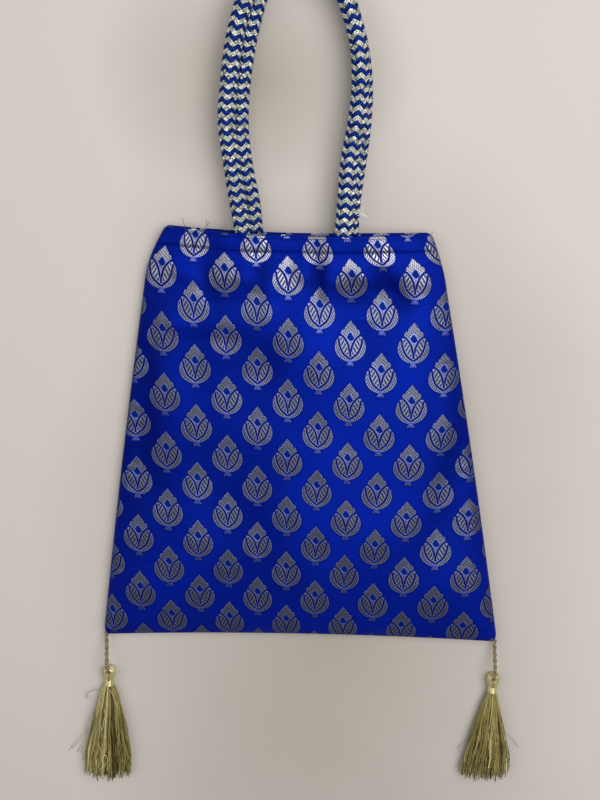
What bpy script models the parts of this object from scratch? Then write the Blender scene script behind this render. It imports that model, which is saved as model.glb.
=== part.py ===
# A lined brocade potli bag with two braided rope handles and a tassel at each bottom corner.
# It lies on its back: X runs across the bag, Y up towards the handles and Z out of its front.
# The origin is on the back cloth's outer face, which rests on the surface, at the bag's middle.

from math import cos, pi, radians, sin, sqrt, tan

import bmesh
import bpy
from mathutils import Matrix, Vector
from mathutils.geometry import delaunay_2d_cdt, intersect_point_line

# The bag's outline, in metres. Heights t run from the bottom seam up to the hem.
BOTTOM_WIDTH = 0.254
TOP_WIDTH = 0.166
BAG_HEIGHT = 0.2585
SIDE_BOW = 0.0012
CORNER_RADIUS = 0.006
HEM_CORNER_RADIUS = 0.003
HEM_PULL_LEFT = 0.0085
HEM_PULL_RIGHT = 0.004
HEM_PULL_DEPTH = 0.026
HEM_LIFT_LEFT = 0.003
HEM_LIFT_RIGHT = 0.0022
HEM_LIFT_DEPTH = 0.040
BOTTOM_HOLLOW = 0.003
SEAM_SLOPE = radians(-2.0)

# Cloth, its layers and how far they stand off the surface
PANEL_THICKNESS = 0.0012
LINING_THICKNESS = 0.0006
HEM_DEPTH = 0.010
HEM_EXTRA = 0.0006
STITCH_GROOVE = 0.0004
STITCH_WIDTH = 0.0016
LINING_INSET = 0.003
LINING_DROP = 0.001
LINING_SLACK = 0.0003
SEAM_RISE = 0.003
INSIDE_TOP_MIDDLE = 0.0156
INSIDE_TOP_MOUTH = 0.0130
SHOULDER = 0.060
BACK_SHOULDER = 0.030
FULLNESS_POWER = 0.6
CLEARANCE = 0.0003

# The woven buds: a half-drop lattice, each bud raised a little above the ground
MOTIF_PITCH = 0.0367
MOTIF_TURN = radians(-1.5)
MOTIF_START = Vector((-0.0046, 0.2346))
MOTIF_RELIEF = 0.0004
MOTIF_MARGIN = 0.0015
BUD_TIP = 0.0132
BUD_HALF_WIDTH = 0.0095
BUD_FOOT = 0.0131

# Rope handles
ROPE_DIAMETER = 0.010
TAIL_LENGTH = 0.018
TAIL_WIDTH = 0.013
TAIL_THICKNESS = 0.0032
TAIL_FALL = 0.016
LEG_SAG = 0.002
# Each loop from the hem up: rise over the hem, half the distance between its legs, and how far
# the middle between them lies to the right of the bag's middle. A round arc closes it.
FRONT_LOOP = [
    (0.0000, 0.0280, -0.0006),
    (0.0191, 0.0304, -0.0014),
    (0.0412, 0.0329, -0.0019),
    (0.0628, 0.0360, -0.0009),
    (0.0839, 0.0360, 0.0011),
    (0.1045, 0.0336, 0.0020),
    (0.1246, 0.0277, 0.0021),
]
BACK_LOOP = [
    (0.0, 0.0275, 0.0043),
    (0.0185, 0.0289, 0.0042),
    (0.0410, 0.0325, 0.0039),
    (0.0630, 0.0346, 0.0045),
    (0.0845, 0.0339, 0.0056),
    (0.1055, 0.0305, 0.0060),
    (0.1260, 0.0244, 0.0056),
]
ARC_TILT = radians(20.0)

# Tassels
CORD_DIAMETER = 0.0026
CORD_DROP = 0.0215
CORD_BEND = 0.0022
BLUNT_REACH = (0.9, 0.6)
BLUNT_SHARES = (0.35, 0.78)
HEAD_RADIUS = 0.00415
HEAD_TOP = 0.0034
HEAD_LENGTH = 0.0147
NECK_RADIUS = 0.0016
EYE_CLEARANCE = 0.00035
BINDING_LENGTH = 0.0036
BINDING_PLACE = 0.13
BINDING_THREAD = 0.0009
SKIRT_LENGTH = 0.064
SKIRT_HALF_WIDTH = 0.0178
SKIRT_TOP_RADIUS = 0.0026
SKIRT_TOP_BULGE = 0.0085
SKIRT_FLUTES = 20
FLUTE_DEPTH = 0.0006
LEFT_LEAN = radians(-5.0)
RIGHT_LEAN = radians(1.0)

ROPE_RADIUS = ROPE_DIAMETER / 2
CORD_RADIUS = CORD_DIAMETER / 2
SLOPE = tan(SEAM_SLOPE)


def clear_scene():
    for item in list(bpy.data.objects):
        bpy.data.objects.remove(item, do_unlink=True)


def principled(name, colour, roughness, metallic=0.0):
    made = bpy.data.materials.new(name)
    made.use_nodes = True
    shader = made.node_tree.nodes["Principled BSDF"]
    shader.inputs["Base Color"].default_value = (*colour, 1.0)
    shader.inputs["Roughness"].default_value = roughness
    shader.inputs["Metallic"].default_value = metallic
    made.diffuse_color = (*colour, 1.0)
    return made


def show(name, mesh, materials, location=(0, 0, 0), turn=0.0):
    shown = bpy.data.objects.new(name, mesh)
    for made in materials:
        mesh.materials.append(made)
    shown.location = location
    shown.rotation_euler = (0, 0, turn)
    bpy.context.scene.collection.objects.link(shown)
    return shown


def mesh_from(bm, name, crease=radians(40)):
    bmesh.ops.recalc_face_normals(bm, faces=bm.faces[:])
    mesh = bpy.data.meshes.new(name)
    bm.to_mesh(mesh)
    bm.free()
    mesh.shade_smooth()
    mesh.set_sharp_from_angle(angle=crease)
    return mesh


def ramp(start, end, value):
    share = min(max((value - start) / (end - start), 0.0), 1.0)
    return share * share * (3 - 2 * share)


# The flat shape of the bag


def side_half_width(t):
    share = t / BAG_HEIGHT
    straight = BOTTOM_WIDTH + (TOP_WIDTH - BOTTOM_WIDTH) * share
    return straight / 2 + SIDE_BOW * sin(pi * min(max(share, 0.0), 1.0))


def rounding(distance, radius):
    if distance >= radius:
        return 0.0
    return radius - sqrt(radius**2 - (radius - max(distance, 0.0)) ** 2)


def row_half_width(t):
    at_bottom = rounding(t, CORNER_RADIUS)
    at_hem = rounding(BAG_HEIGHT - t, HEM_CORNER_RADIUS)
    return side_half_width(t) - at_bottom - at_hem


def hem_pull(x, t):
    # The hem's stitching draws its two corners in
    share = max((t - BAG_HEIGHT) / HEM_PULL_DEPTH + 1, 0.0)
    most = HEM_PULL_LEFT if x < 0 else HEM_PULL_RIGHT
    return most * share**1.5 * (x / side_half_width(t)) ** 4


def hem_lift(x, t):
    # The hem's two ends ride up beside its middle
    share = ramp(BAG_HEIGHT - HEM_LIFT_DEPTH, BAG_HEIGHT, t)
    most = HEM_LIFT_LEFT if x < 0 else HEM_LIFT_RIGHT
    return most * share * abs(x / side_half_width(t)) ** 1.6


def across(x, t):
    # Where a point of the flat bag lies: the bottom seam is a little hollow, and the seams slope
    hollow = BOTTOM_HOLLOW * (1 - (2 * x / BOTTOM_WIDTH) ** 2) * (1 - t / BAG_HEIGHT)
    drawn = x - hem_pull(x, t) if x > 0 else x + hem_pull(x, t)
    return Vector((drawn, t - BAG_HEIGHT / 2 + hollow + SLOPE * x + hem_lift(x, t)))


# The heights of the layers over the surface


def swell(distance, shoulder):
    share = min(max(distance / shoulder, 0.0), 1.0)
    return (1 - (1 - share) ** 2) ** FULLNESS_POWER


def fullness(x, t, shoulder):
    # The distance to the nearest seam, rounded off where two seams meet
    to_side = max(side_half_width(t) - abs(x), 1e-6)
    to_bottom = max(t, 1e-6)
    distance = (to_side**-3 + to_bottom**-3) ** (-1 / 3)
    return swell(distance, shoulder)


def hem_extra(t):
    above = ramp(
        BAG_HEIGHT - HEM_DEPTH - STITCH_WIDTH / 2,
        BAG_HEIGHT - HEM_DEPTH + STITCH_WIDTH / 2,
        t,
    )
    return HEM_EXTRA * above


def tail_lift(x, t, foot_positions):
    # The cloth stands off its neighbour where a rope's tail is sewn in between them
    along = ramp(
        BAG_HEIGHT - TAIL_LENGTH - 1.5 * TAIL_FALL,
        BAG_HEIGHT - TAIL_LENGTH - 0.3 * TAIL_FALL,
        t,
    )
    over = 0.0
    for foot in foot_positions:
        beyond = abs(x - foot) - TAIL_WIDTH / 2
        over = max(over, 1 - ramp(0.2 * TAIL_FALL, 1.2 * TAIL_FALL, beyond))
    return (TAIL_THICKNESS + 2 * CLEARANCE) * along * over


def feet_of(loop):
    rise, spread, shift = loop[0]
    return [shift - spread, shift + spread]


FRONT_FEET = feet_of(FRONT_LOOP)
BACK_FEET = feet_of(BACK_LOOP)


def back_outer(x, t):
    return SEAM_RISE * (1 - fullness(x, t, BACK_SHOULDER))


def back_inner(x, t):
    return back_outer(x, t) + PANEL_THICKNESS + hem_extra(t)


def back_lining_low(x, t):
    return back_inner(x, t) + CLEARANCE + tail_lift(x, t, BACK_FEET)


def back_lining_high(x, t):
    return back_lining_low(x, t) + LINING_THICKNESS


def front_bed(x, t):
    # The underside of the front cloth, before the rope tails lift it
    inside = INSIDE_TOP_MIDDLE + (INSIDE_TOP_MOUTH - INSIDE_TOP_MIDDLE) * ramp(
        0.6 * BAG_HEIGHT, BAG_HEIGHT, t
    )
    crown = inside + LINING_THICKNESS + CLEARANCE
    rim = SEAM_RISE + PANEL_THICKNESS + hem_extra(t) + CLEARANCE
    return rim + (crown - rim) * fullness(x, t, SHOULDER)


def front_inner(x, t):
    return front_bed(x, t) + tail_lift(x, t, FRONT_FEET)


def front_outer(x, t):
    groove = STITCH_GROOVE * (
        1
        - ramp(
            0.0, STITCH_WIDTH, abs(t - (BAG_HEIGHT - HEM_DEPTH - STITCH_WIDTH / 2))
        )
    )
    return front_inner(x, t) + PANEL_THICKNESS + hem_extra(t) - groove


def front_lining_high(x, t):
    slack = LINING_SLACK * (1 - fullness(x, t, SHOULDER))
    return front_bed(x, t) - CLEARANCE - slack


def front_lining_low(x, t):
    return front_lining_high(x, t) - LINING_THICKNESS


# The grid that every layer of cloth is laid out on


def row_heights():
    rows = [0.0, LINING_INSET]
    rows += [share * SHOULDER for share in (0.11, 0.22, 0.42, 0.70, 1.0)]
    body_start = rows[-1]
    tail_start = BAG_HEIGHT - TAIL_LENGTH - 1.5 * TAIL_FALL
    steps = 4
    for step in range(1, steps + 1):
        rows.append(body_start + (tail_start - body_start) * step / steps)
    rows.append(BAG_HEIGHT - TAIL_LENGTH - 0.3 * TAIL_FALL)
    rows.append(BAG_HEIGHT - HEM_DEPTH - STITCH_WIDTH)
    rows.append(BAG_HEIGHT - HEM_DEPTH - STITCH_WIDTH / 2)
    rows.append(BAG_HEIGHT - HEM_DEPTH + STITCH_WIDTH / 2)
    rows.append(BAG_HEIGHT - 0.6 * HEM_CORNER_RADIUS)
    rows.append(BAG_HEIGHT)
    return rows


def column_positions(feet, half_width):
    # Lines beside each rope's tail, then out to the lining's edge and the side seam
    near = TAIL_WIDTH / 2 + 0.2 * TAIL_FALL
    far = TAIL_WIDTH / 2 + 1.2 * TAIL_FALL
    left, right = feet
    inner = [left - far, left - near, left + near, left + far]
    inner += [right - far, right - near, right + near, right + far]
    edge = half_width - LINING_INSET
    outer_right = [
        inner[-1] + (edge - inner[-1]) * share for share in (0.42, 0.74, 0.92)
    ]
    outer_left = [inner[0] - (edge + inner[0]) * share for share in (0.42, 0.74, 0.92)]
    outer_right += [edge, half_width]
    outer_left += [-edge, -half_width]
    return outer_left[::-1] + inner + outer_right


def panel_grid(feet):
    return [
        [(x, t) for x in column_positions(feet, row_half_width(t))]
        for t in row_heights()
    ]


def lining_grid(feet):
    # The panel's grid without its outermost lines, so that the layers keep their distance
    rows = row_heights()[1:-1] + [BAG_HEIGHT - LINING_DROP]
    return [
        [(x, t) for x in column_positions(feet, row_half_width(t))[1:-1]] for t in rows
    ]


def rim_of(grid):
    rim = list(grid[0])
    rim += [row[-1] for row in grid[1:]]
    rim += grid[-1][-2::-1]
    rim += [row[0] for row in grid[-2:0:-1]]
    return rim


def grid_surface(bm, grid, height):
    made = {}
    for row in grid:
        for x, t in row:
            made[(x, t)] = bm.verts.new((*across(x, t), height(x, t)))
    for lower, upper in zip(grid, grid[1:]):
        for a, b, c, d in zip(lower, lower[1:], upper[1:], upper):
            bm.faces.new((made[a], made[b], made[c], made[d]))
    return [made[key] for key in rim_of(grid)]


# The woven buds


def bud_outline(fine):
    width, tip, foot = BUD_HALF_WIDTH, BUD_TIP, BUD_FOOT
    if fine:
        right = [
            (0.56 * width, 0.47 * tip),
            (0.78 * width, 0.29 * tip),
            (width, -0.14 * foot),
            (0.53 * width, -0.67 * foot),
            (0.13 * width, -0.83 * foot),
            (0.21 * width, -foot),
        ]
    else:
        right = [(0.6 * width, 0.45 * tip), (width, -0.14 * foot), (0.2 * width, -foot)]
    left = [(-x, y) for x, y in reversed(right)]
    return [Vector((0.0, tip))] + [Vector(p) for p in right + left]


def kept_side(points, inside, crossing):
    # One straight cut of a bud that runs over the edge of the cloth
    kept = []
    for here, after in zip(points, points[1:] + points[:1]):
        if inside(here):
            kept.append(here)
        if inside(here) != inside(after):
            kept.append(crossing(here, after))
    return kept


def cut_at(points, normal, offset):
    def depth(point):
        return point.dot(normal) - offset

    def crossing(a, b):
        return a.lerp(b, depth(a) / (depth(a) - depth(b)))

    return kept_side(points, lambda point: depth(point) <= 0, crossing)


def area_of(points):
    pairs = zip(points, points[1:] + points[:1])
    return abs(sum(a.cross(b) for a, b in pairs)) / 2


def buds(fine):
    # Every bud that shows on one side of the bag, cut where the seams and the hem cut it
    turn = Matrix.Rotation(MOTIF_TURN, 2)
    slant = (BOTTOM_WIDTH - TOP_WIDTH) / 2 / BAG_HEIGHT
    side_normal = Vector((1.0, slant)).normalized()
    side_offset = Vector((BOTTOM_WIDTH / 2, 0)).dot(side_normal) - MOTIF_MARGIN
    cuts = [
        (side_normal, side_offset),
        (Vector((-side_normal.x, side_normal.y)), side_offset),
        (Vector((0, 1)), BAG_HEIGHT - MOTIF_MARGIN),
        (Vector((0, -1)), -MOTIF_MARGIN),
    ]
    smallest = 0.3 * BUD_HALF_WIDTH * BUD_TIP
    reach = int(max(BOTTOM_WIDTH, BAG_HEIGHT) / MOTIF_PITCH) + 2
    found = []
    for half_row in range(-2 * reach, 2 * reach):
        for column in range(-reach, reach):
            across_share = column + (half_row % 2) / 2
            centre = MOTIF_START + turn @ Vector(
                (across_share * MOTIF_PITCH, half_row * MOTIF_PITCH / 2)
            )
            outline = [centre + turn @ point for point in bud_outline(fine)]
            for normal, offset in cuts:
                if outline:
                    outline = cut_at(outline, normal, offset)
            for point in outline:
                limit = row_half_width(min(point.y, BAG_HEIGHT)) - MOTIF_MARGIN
                point.x = min(max(point.x, -limit), limit)
            if len(outline) > 2 and area_of(outline) > smallest:
                found.append((centre, outline))
    return found


def holds(outline, point):
    inside = False
    for a, b in zip(outline, outline[1:] + outline[:1]):
        if (a.y > point.y) != (b.y > point.y):
            reach = a.x + (point.y - a.y) / (b.y - a.y) * (b.x - a.x)
            inside = inside != (point.x < reach)
    return inside


def brocade_surface(bm, grid, height, relief, fine):
    # The cloth's outer face: the grid's lines, with each bud's outline let into it
    rim = [Vector(point) for point in rim_of(grid)]
    points = list(rim)
    edges = [(k, (k + 1) % len(rim)) for k in range(len(rim))]
    found = buds(fine)
    raised = set()
    for centre, outline in found:
        first = len(points)
        points += outline
        size = len(outline)
        edges += [(first + k, first + (k + 1) % size) for k in range(size)]
        if relief:
            for share in (0.38 * BUD_TIP, -0.28 * BUD_FOOT):
                ridge = centre + Matrix.Rotation(MOTIF_TURN, 2) @ Vector((0, share))
                if holds(outline, ridge):
                    raised.add(len(points))
                    points.append(ridge)
    clear = 1.25 * BUD_HALF_WIDTH
    for row in grid[1:-1]:
        for x, t in row[1:-1]:
            point = Vector((x, t))
            nearest = min((point - centre).length for centre, outline in found)
            if nearest > clear:
                points.append(point)
    laid = delaunay_2d_cdt(points, edges, [], 1, 1e-7)
    places, faces, sources = laid[0], laid[2], laid[3]
    made = []
    place_of = {}
    for index, place in enumerate(places):
        lift = relief if raised.intersection(sources[index]) else 0.0
        z = height(place.x, place.y) + lift
        made.append(bm.verts.new((*across(place.x, place.y), z)))
        for source in sources[index]:
            place_of[source] = made[-1]
    for face in faces:
        middle = sum((places[k] for k in face), Vector((0, 0))) / len(face)
        new = bm.faces.new([made[k] for k in face])
        near = [outline for centre, outline in found if (centre - middle).length < 0.03]
        if any(holds(outline, middle) for outline in near):
            new.material_index = 1
    return [place_of[k] for k in range(len(rim))]


def close_rim(bm, low, high):
    for k in range(len(low)):
        after = (k + 1) % len(low)
        bm.faces.new((low[k], low[after], high[after], high[k]))


# Cloth pieces


def build_panels(materials):
    grid = panel_grid(FRONT_FEET)
    bm = bmesh.new()
    low = grid_surface(bm, grid, front_inner)
    high = brocade_surface(bm, grid, front_outer, MOTIF_RELIEF, True)
    close_rim(bm, low, high)
    show("front_panel", mesh_from(bm, "front_panel"), materials)

    grid = panel_grid(BACK_FEET)
    bm = bmesh.new()
    low = brocade_surface(bm, grid, back_outer, 0.0, False)
    high = grid_surface(bm, grid, back_inner)
    close_rim(bm, low, high)
    show("back_panel", mesh_from(bm, "back_panel"), materials)


def build_linings(material):
    layers = {
        "front_lining": (FRONT_FEET, front_lining_low, front_lining_high),
        "back_lining": (BACK_FEET, back_lining_low, back_lining_high),
    }
    for name, (feet, low_height, high_height) in layers.items():
        grid = lining_grid(feet)
        bm = bmesh.new()
        low = grid_surface(bm, grid, low_height)
        high = grid_surface(bm, grid, high_height)
        close_rim(bm, low, high)
        show(name, mesh_from(bm, name), [material])


# Rope handles


def tail_height(bed, x, t):
    return bed(x, t) + TAIL_THICKNESS / 2


def build_tail(name, x, bed, material):
    # The flattened end of a rope, sewn into the hem between the cloth and the lining
    ends = []
    for t in (BAG_HEIGHT - TAIL_LENGTH, BAG_HEIGHT - CLEARANCE):
        ends.append(Vector((*across(x, t), tail_height(bed, x, t))))
    run = ends[1] - ends[0]
    bm = bmesh.new()
    bmesh.ops.create_cone(
        bm, cap_ends=True, segments=14, radius1=0.5, radius2=0.5, depth=1.0
    )
    bmesh.ops.scale(bm, vec=(TAIL_WIDTH, TAIL_THICKNESS, run.length), verts=bm.verts[:])
    frame = Matrix((Vector((1, 0, 0)), run.normalized().cross(Vector((1, 0, 0))), run))
    frame = frame.transposed()
    frame.col[2].normalize()
    bmesh.ops.transform(bm, matrix=frame.to_4x4(), verts=bm.verts[:])
    middle = (ends[0] + ends[1]) / 2
    return show(name, mesh_from(bm, name), [material], middle)


def front_tail_bed(x, t):
    return front_bed(x, t) + CLEARANCE / 2


def back_tail_bed(x, t):
    return back_inner(x, t) + CLEARANCE


def leg_start(x):
    return across(x, BAG_HEIGHT).y + CLEARANCE + abs(SLOPE) * ROPE_RADIUS


def between(before, here, after, beyond, share):
    # A smooth curve through measured values, one value at a time
    slope_here = (after - before) / 2
    slope_after = (beyond - here) / 2
    square, cube = share**2, share**3
    return (
        (2 * cube - 3 * square + 1) * here
        + (cube - 2 * square + share) * slope_here
        + (3 * square - 2 * cube) * after
        + (cube - square) * slope_after
    )


def loop_route(loop):
    # Up the left leg, round the arc and down the right leg, as (across, rise)
    padded = [loop[0]] + loop + [loop[-1]]
    legs = []
    for k in range(1, len(loop)):
        for share in (0.0, 0.5):
            values = zip(*padded[k - 1 : k + 3])
            legs.append([between(*value, share) for value in values])
    rise, spread, shift = loop[-1]
    radius = spread / cos(ARC_TILT)
    arc = []
    steps = 4
    for step in range(steps + 1):
        angle = ARC_TILT + (pi / 2 - ARC_TILT) * step / steps
        up = radius * (sin(angle) - sin(ARC_TILT))
        arc.append((rise + up, radius * cos(angle), shift))
    half = [tuple(place) for place in legs] + arc
    left = [(shift - spread, rise) for rise, spread, shift in half]
    right = [(shift + spread, rise) for rise, spread, shift in half[-2::-1]]
    return left, right


def rope_curve(name, points, radius, resolution, material, location, blunt=()):
    # blunt lists the first points' shares of the full radius, for a rounded end
    curve = bpy.data.curves.new(name, "CURVE")
    curve.dimensions = "3D"
    curve.bevel_depth = radius
    curve.bevel_resolution = resolution
    curve.use_fill_caps = True
    curve.resolution_u = 1
    spline = curve.splines.new("POLY")
    spline.points.add(len(points) - 1)
    for point, place in zip(spline.points, points):
        point.co = (*(Vector(place) - location), 1.0)
    for point, share in zip(spline.points, blunt):
        point.radius = share
    curve.materials.append(material)
    shown = bpy.data.objects.new(name, curve)
    shown.location = location
    bpy.context.scene.collection.objects.link(shown)
    return shown


def hem_line(feet):
    return max(leg_start(foot) for foot in feet)


def leg_sag(rise, loop):
    share = min(rise / loop[-1][0], 1.0)
    return LEG_SAG * sin(pi * share) ** 2


def build_handles(material):
    # Each loop's origin is on the line that it turns about, level with the hem's outer face.
    # The front loop's left leg, which has no rope under it, sags a little.
    back_level = ROPE_RADIUS + CLEARANCE
    loops = {
        "front_handle": (FRONT_LOOP, LEG_SAG, front_rope_level()),
        "back_handle": (BACK_LOOP, 0.0, back_level),
    }
    hinges = {
        "front_handle": front_hinge_height(front_rope_level()),
        "back_handle": 0.0,
    }
    for name, (loop, sag, level) in loops.items():
        left, right = loop_route(loop)
        hem = across(0, BAG_HEIGHT).y
        route = [
            (x, hem + rise, level - (leg_sag(rise, loop) if sag else 0.0))
            for x, rise in left
        ]
        route += [(x, hem + rise, level) for x, rise in right]
        feet = feet_of(loop)
        starts = [(foot, leg_start(foot), level) for foot in feet]
        straight = [(x, y + ROPE_RADIUS / 2, z) for x, y, z in starts]
        route[0:1] = [starts[0], straight[0]]
        route[-1:] = [straight[1], starts[1]]
        hinge = Vector((0, hem_line(feet), hinges[name]))
        rope_curve(name, route, ROPE_RADIUS, 3, material, hinge)


def front_rope_level():
    # High enough to lie on the back handle's rope
    return 3 * ROPE_RADIUS + 2 * CLEARANCE


def hem_top():
    return max(front_outer(foot, BAG_HEIGHT) for foot in FRONT_FEET)


def front_hinge_height(level):
    return max(level + ROPE_RADIUS - CLEARANCE, hem_top() + 2 * CLEARANCE)


def build_tails(material):
    for side, foot in zip(("left", "right"), FRONT_FEET):
        build_tail(f"front_handle_{side}_tail", foot, front_tail_bed, material)
    for side, foot in zip(("left", "right"), BACK_FEET):
        build_tail(f"back_handle_{side}_tail", foot, back_tail_bed, material)


# Tassels


def seam_gap(point):
    # How far a point of the surface lies from the bag's outline
    rim = [across(*place) for place in rim_of(panel_grid(BACK_FEET))]
    nearest = 1.0
    for a, b in zip(rim, rim[1:] + rim[:1]):
        foot, share = intersect_point_line(point, a, b)
        foot = a.lerp(b, min(max(share, 0.0), 1.0))
        nearest = min(nearest, (point - foot).length)
    return nearest


def corner_exit(side):
    # Just off the rounded corner, where the tassel's cord leaves the seam
    centre = across(
        side * (side_half_width(CORNER_RADIUS) - CORNER_RADIUS), CORNER_RADIUS
    )
    away = Vector((side, -1)).normalized()
    reach = CORNER_RADIUS
    while seam_gap(centre + reach * away) < CLEARANCE + CORD_RADIUS:
        reach += CLEARANCE / 10
    level = SEAM_RISE + PANEL_THICKNESS + CLEARANCE / 2
    return Vector((*(centre + reach * away), level))


def head_level():
    return HEAD_RADIUS + CLEARANCE


def cord_route(start, eye):
    # From the corner, over the top of the head and down through its eye
    over = head_level() + HEAD_RADIUS + 2 * CLEARANCE + CORD_RADIUS
    bend_start = eye.y + CORD_BEND
    rise_steps, bend_steps = 7, 5
    route = [(start.x, start.y + reach * CORD_RADIUS, start.z) for reach in BLUNT_REACH]
    for step in range(rise_steps):
        share = step / rise_steps
        y = start.y + (bend_start - start.y) * share
        z = start.z + (over - start.z) * (1 - cos(pi * share)) / 2
        route.append((start.x + (eye.x - start.x) * share, y, z))
    for step in range(bend_steps + 1):
        angle = pi / 2 * step / bend_steps
        y = bend_start - CORD_BEND * sin(angle)
        route.append((eye.x, y, over - CORD_BEND + CORD_BEND * cos(angle)))
    route.append((eye.x, eye.y, head_level()))
    route.append((eye.x, eye.y, CORD_RADIUS))
    return route


def turned(profile, segments):
    # A closed or pole-to-pole profile of (radius, place along Y), turned about Y
    bm = bmesh.new()
    verts = [bm.verts.new((radius, along, 0)) for radius, along in profile]
    edges = [bm.edges.new(pair) for pair in zip(verts, verts[1:])]
    bmesh.ops.spin(
        bm,
        geom=verts + edges,
        axis=(0, 1, 0),
        cent=(0, 0, 0),
        steps=segments,
        angle=2 * pi,
        use_merge=True,
    )
    bmesh.ops.remove_doubles(bm, verts=bm.verts[:], dist=1e-6)
    return bm


def head_profile():
    low = HEAD_TOP - HEAD_LENGTH
    shape = [
        (0.0, 1.0),
        (0.50, 0.97),
        (0.82, 0.87),
        (0.97, 0.74),
        (1.0, 0.58),
        (0.90, 0.42),
    ]
    points = [(HEAD_RADIUS * r, low + HEAD_LENGTH * a) for r, a in shape]
    points += [
        (NECK_RADIUS, low + 0.30 * HEAD_LENGTH),
        (NECK_RADIUS, low),
        (0.0, low),
    ]
    return points


def binding_profile():
    # Three turns of thread, side by side, as one ring round the neck
    inner = NECK_RADIUS + CLEARANCE
    turns = 3
    half = BINDING_LENGTH / turns / 2
    centre = HEAD_TOP - HEAD_LENGTH + BINDING_PLACE * HEAD_LENGTH
    points = [(inner, centre - turns * half)]
    for turn in range(turns):
        middle = centre + (2 * turn - turns + 1) * half
        for angle in (-0.5, 0.0, 0.5):
            along = middle + half * sin(pi * angle * 0.9)
            points.append((inner + BINDING_THREAD * cos(pi * angle * 0.72), along))
    points.append((inner, centre + turns * half))
    points.append(points[0])
    return points


def build_head(name, location, lean, material):
    bm = turned(head_profile(), 20)
    head = show(name, mesh_from(bm, name), [material], location, lean)
    drill = bmesh.new()
    bmesh.ops.create_cone(
        drill,
        cap_ends=True,
        segments=16,
        radius1=CORD_RADIUS + EYE_CLEARANCE,
        radius2=CORD_RADIUS + EYE_CLEARANCE,
        depth=4 * HEAD_RADIUS,
    )
    cutter = show(f"{name}_eye_cutter", mesh_from(drill, "eye_cutter"), [], location)
    cutter.hide_render = True
    cutter.display_type = "WIRE"
    hole = head.modifiers.new("eye", "BOOLEAN")
    hole.operation = "DIFFERENCE"
    hole.object = cutter


def skirt_ring(share):
    # One cross-section of the threads: a fluted oval, flattened where it lies on the surface
    start = HEAD_TOP - HEAD_LENGTH - CLEARANCE
    level = head_level()
    narrow = SKIRT_TOP_RADIUS
    half_width = narrow + (SKIRT_HALF_WIDTH - narrow) * share**0.9
    above = narrow + (SKIRT_TOP_BULGE - narrow) * share**0.8
    below = min(level - CLEARANCE, narrow + (level - narrow) * ramp(0, 0.3, share))
    sides = 2 * SKIRT_FLUTES
    ring = []
    for k in range(sides):
        angle = 2 * pi * k / sides
        flute = FLUTE_DEPTH * ramp(0, 0.25, share) * (-1 if k % 2 else 1)
        x = (half_width + flute) * cos(angle)
        up = above + flute if sin(angle) > 0 else below + min(flute, 0)
        z = up * sin(angle)
        ragged = 0.0015 * sin(5 * angle) * (share == 1)
        ring.append((x, start - SKIRT_LENGTH * share + ragged, z))
    return ring


def build_skirt(name, location, lean, material):
    bm = bmesh.new()
    shares = [0.0, 0.06, 0.16, 0.32, 0.55, 0.8, 1.0]
    rings = [[bm.verts.new(p) for p in skirt_ring(share)] for share in shares]
    for upper, lower in zip(rings, rings[1:]):
        for k in range(len(upper)):
            after = (k + 1) % len(upper)
            bm.faces.new((upper[k], upper[after], lower[after], lower[k]))
    bm.faces.new(rings[0])
    low_end = sum((v.co for v in rings[-1]), Vector()) / len(rings[-1])
    low_end.y += 0.05 * SKIRT_LENGTH
    heart = bm.verts.new(low_end)
    for k in range(len(rings[-1])):
        bm.faces.new((rings[-1][k], rings[-1][(k + 1) % len(rings[-1])], heart))
    show(name, mesh_from(bm, name, radians(60)), [material], location, lean)


def build_tassel(side_name, side, lean, materials):
    start = corner_exit(side)
    eye = Vector((start.x, start.y - CORD_DROP, 0))
    seat = Vector((eye.x, eye.y, head_level()))
    rope_curve(
        f"{side_name}_tassel_cord",
        cord_route(start, eye),
        CORD_RADIUS,
        2,
        materials["cord"],
        Vector((start.x, start.y, 0)),
        BLUNT_SHARES,
    )
    build_head(f"{side_name}_tassel_head", seat, lean, materials["gold"])
    binding = turned(binding_profile(), 16)
    name = f"{side_name}_tassel_binding"
    show(name, mesh_from(binding, name), [materials["gold"]], seat, lean)
    build_skirt(f"{side_name}_tassel_skirt", seat, lean, materials["thread"])


def build_bag():
    brocade = principled("royal_brocade", (0.012, 0.035, 0.52), 0.42)
    zari = principled("silver_zari", (0.42, 0.42, 0.40), 0.38, 0.35)
    lining = principled("navy_lining", (0.01, 0.02, 0.16), 0.55)
    rope = principled("braided_rope", (0.12, 0.16, 0.45), 0.6)
    build_panels([brocade, zari])
    build_linings(lining)
    build_tails(rope)
    build_handles(rope)
    tassel_materials = {
        "cord": principled("twisted_cord", (0.52, 0.40, 0.20), 0.6),
        "gold": principled("gold_thread", (0.62, 0.48, 0.16), 0.35, 0.4),
        "thread": principled("tassel_thread", (0.34, 0.30, 0.12), 0.5),
    }
    build_tassel("left", -1, LEFT_LEAN, tassel_materials)
    build_tassel("right", 1, RIGHT_LEAN, tassel_materials)


clear_scene()
build_bag()
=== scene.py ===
import random
from math import cos, exp, hypot, pi, radians, sin, sqrt, tan, tanh

import bmesh
import bpy
from mathutils import Matrix, Vector, noise


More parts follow.
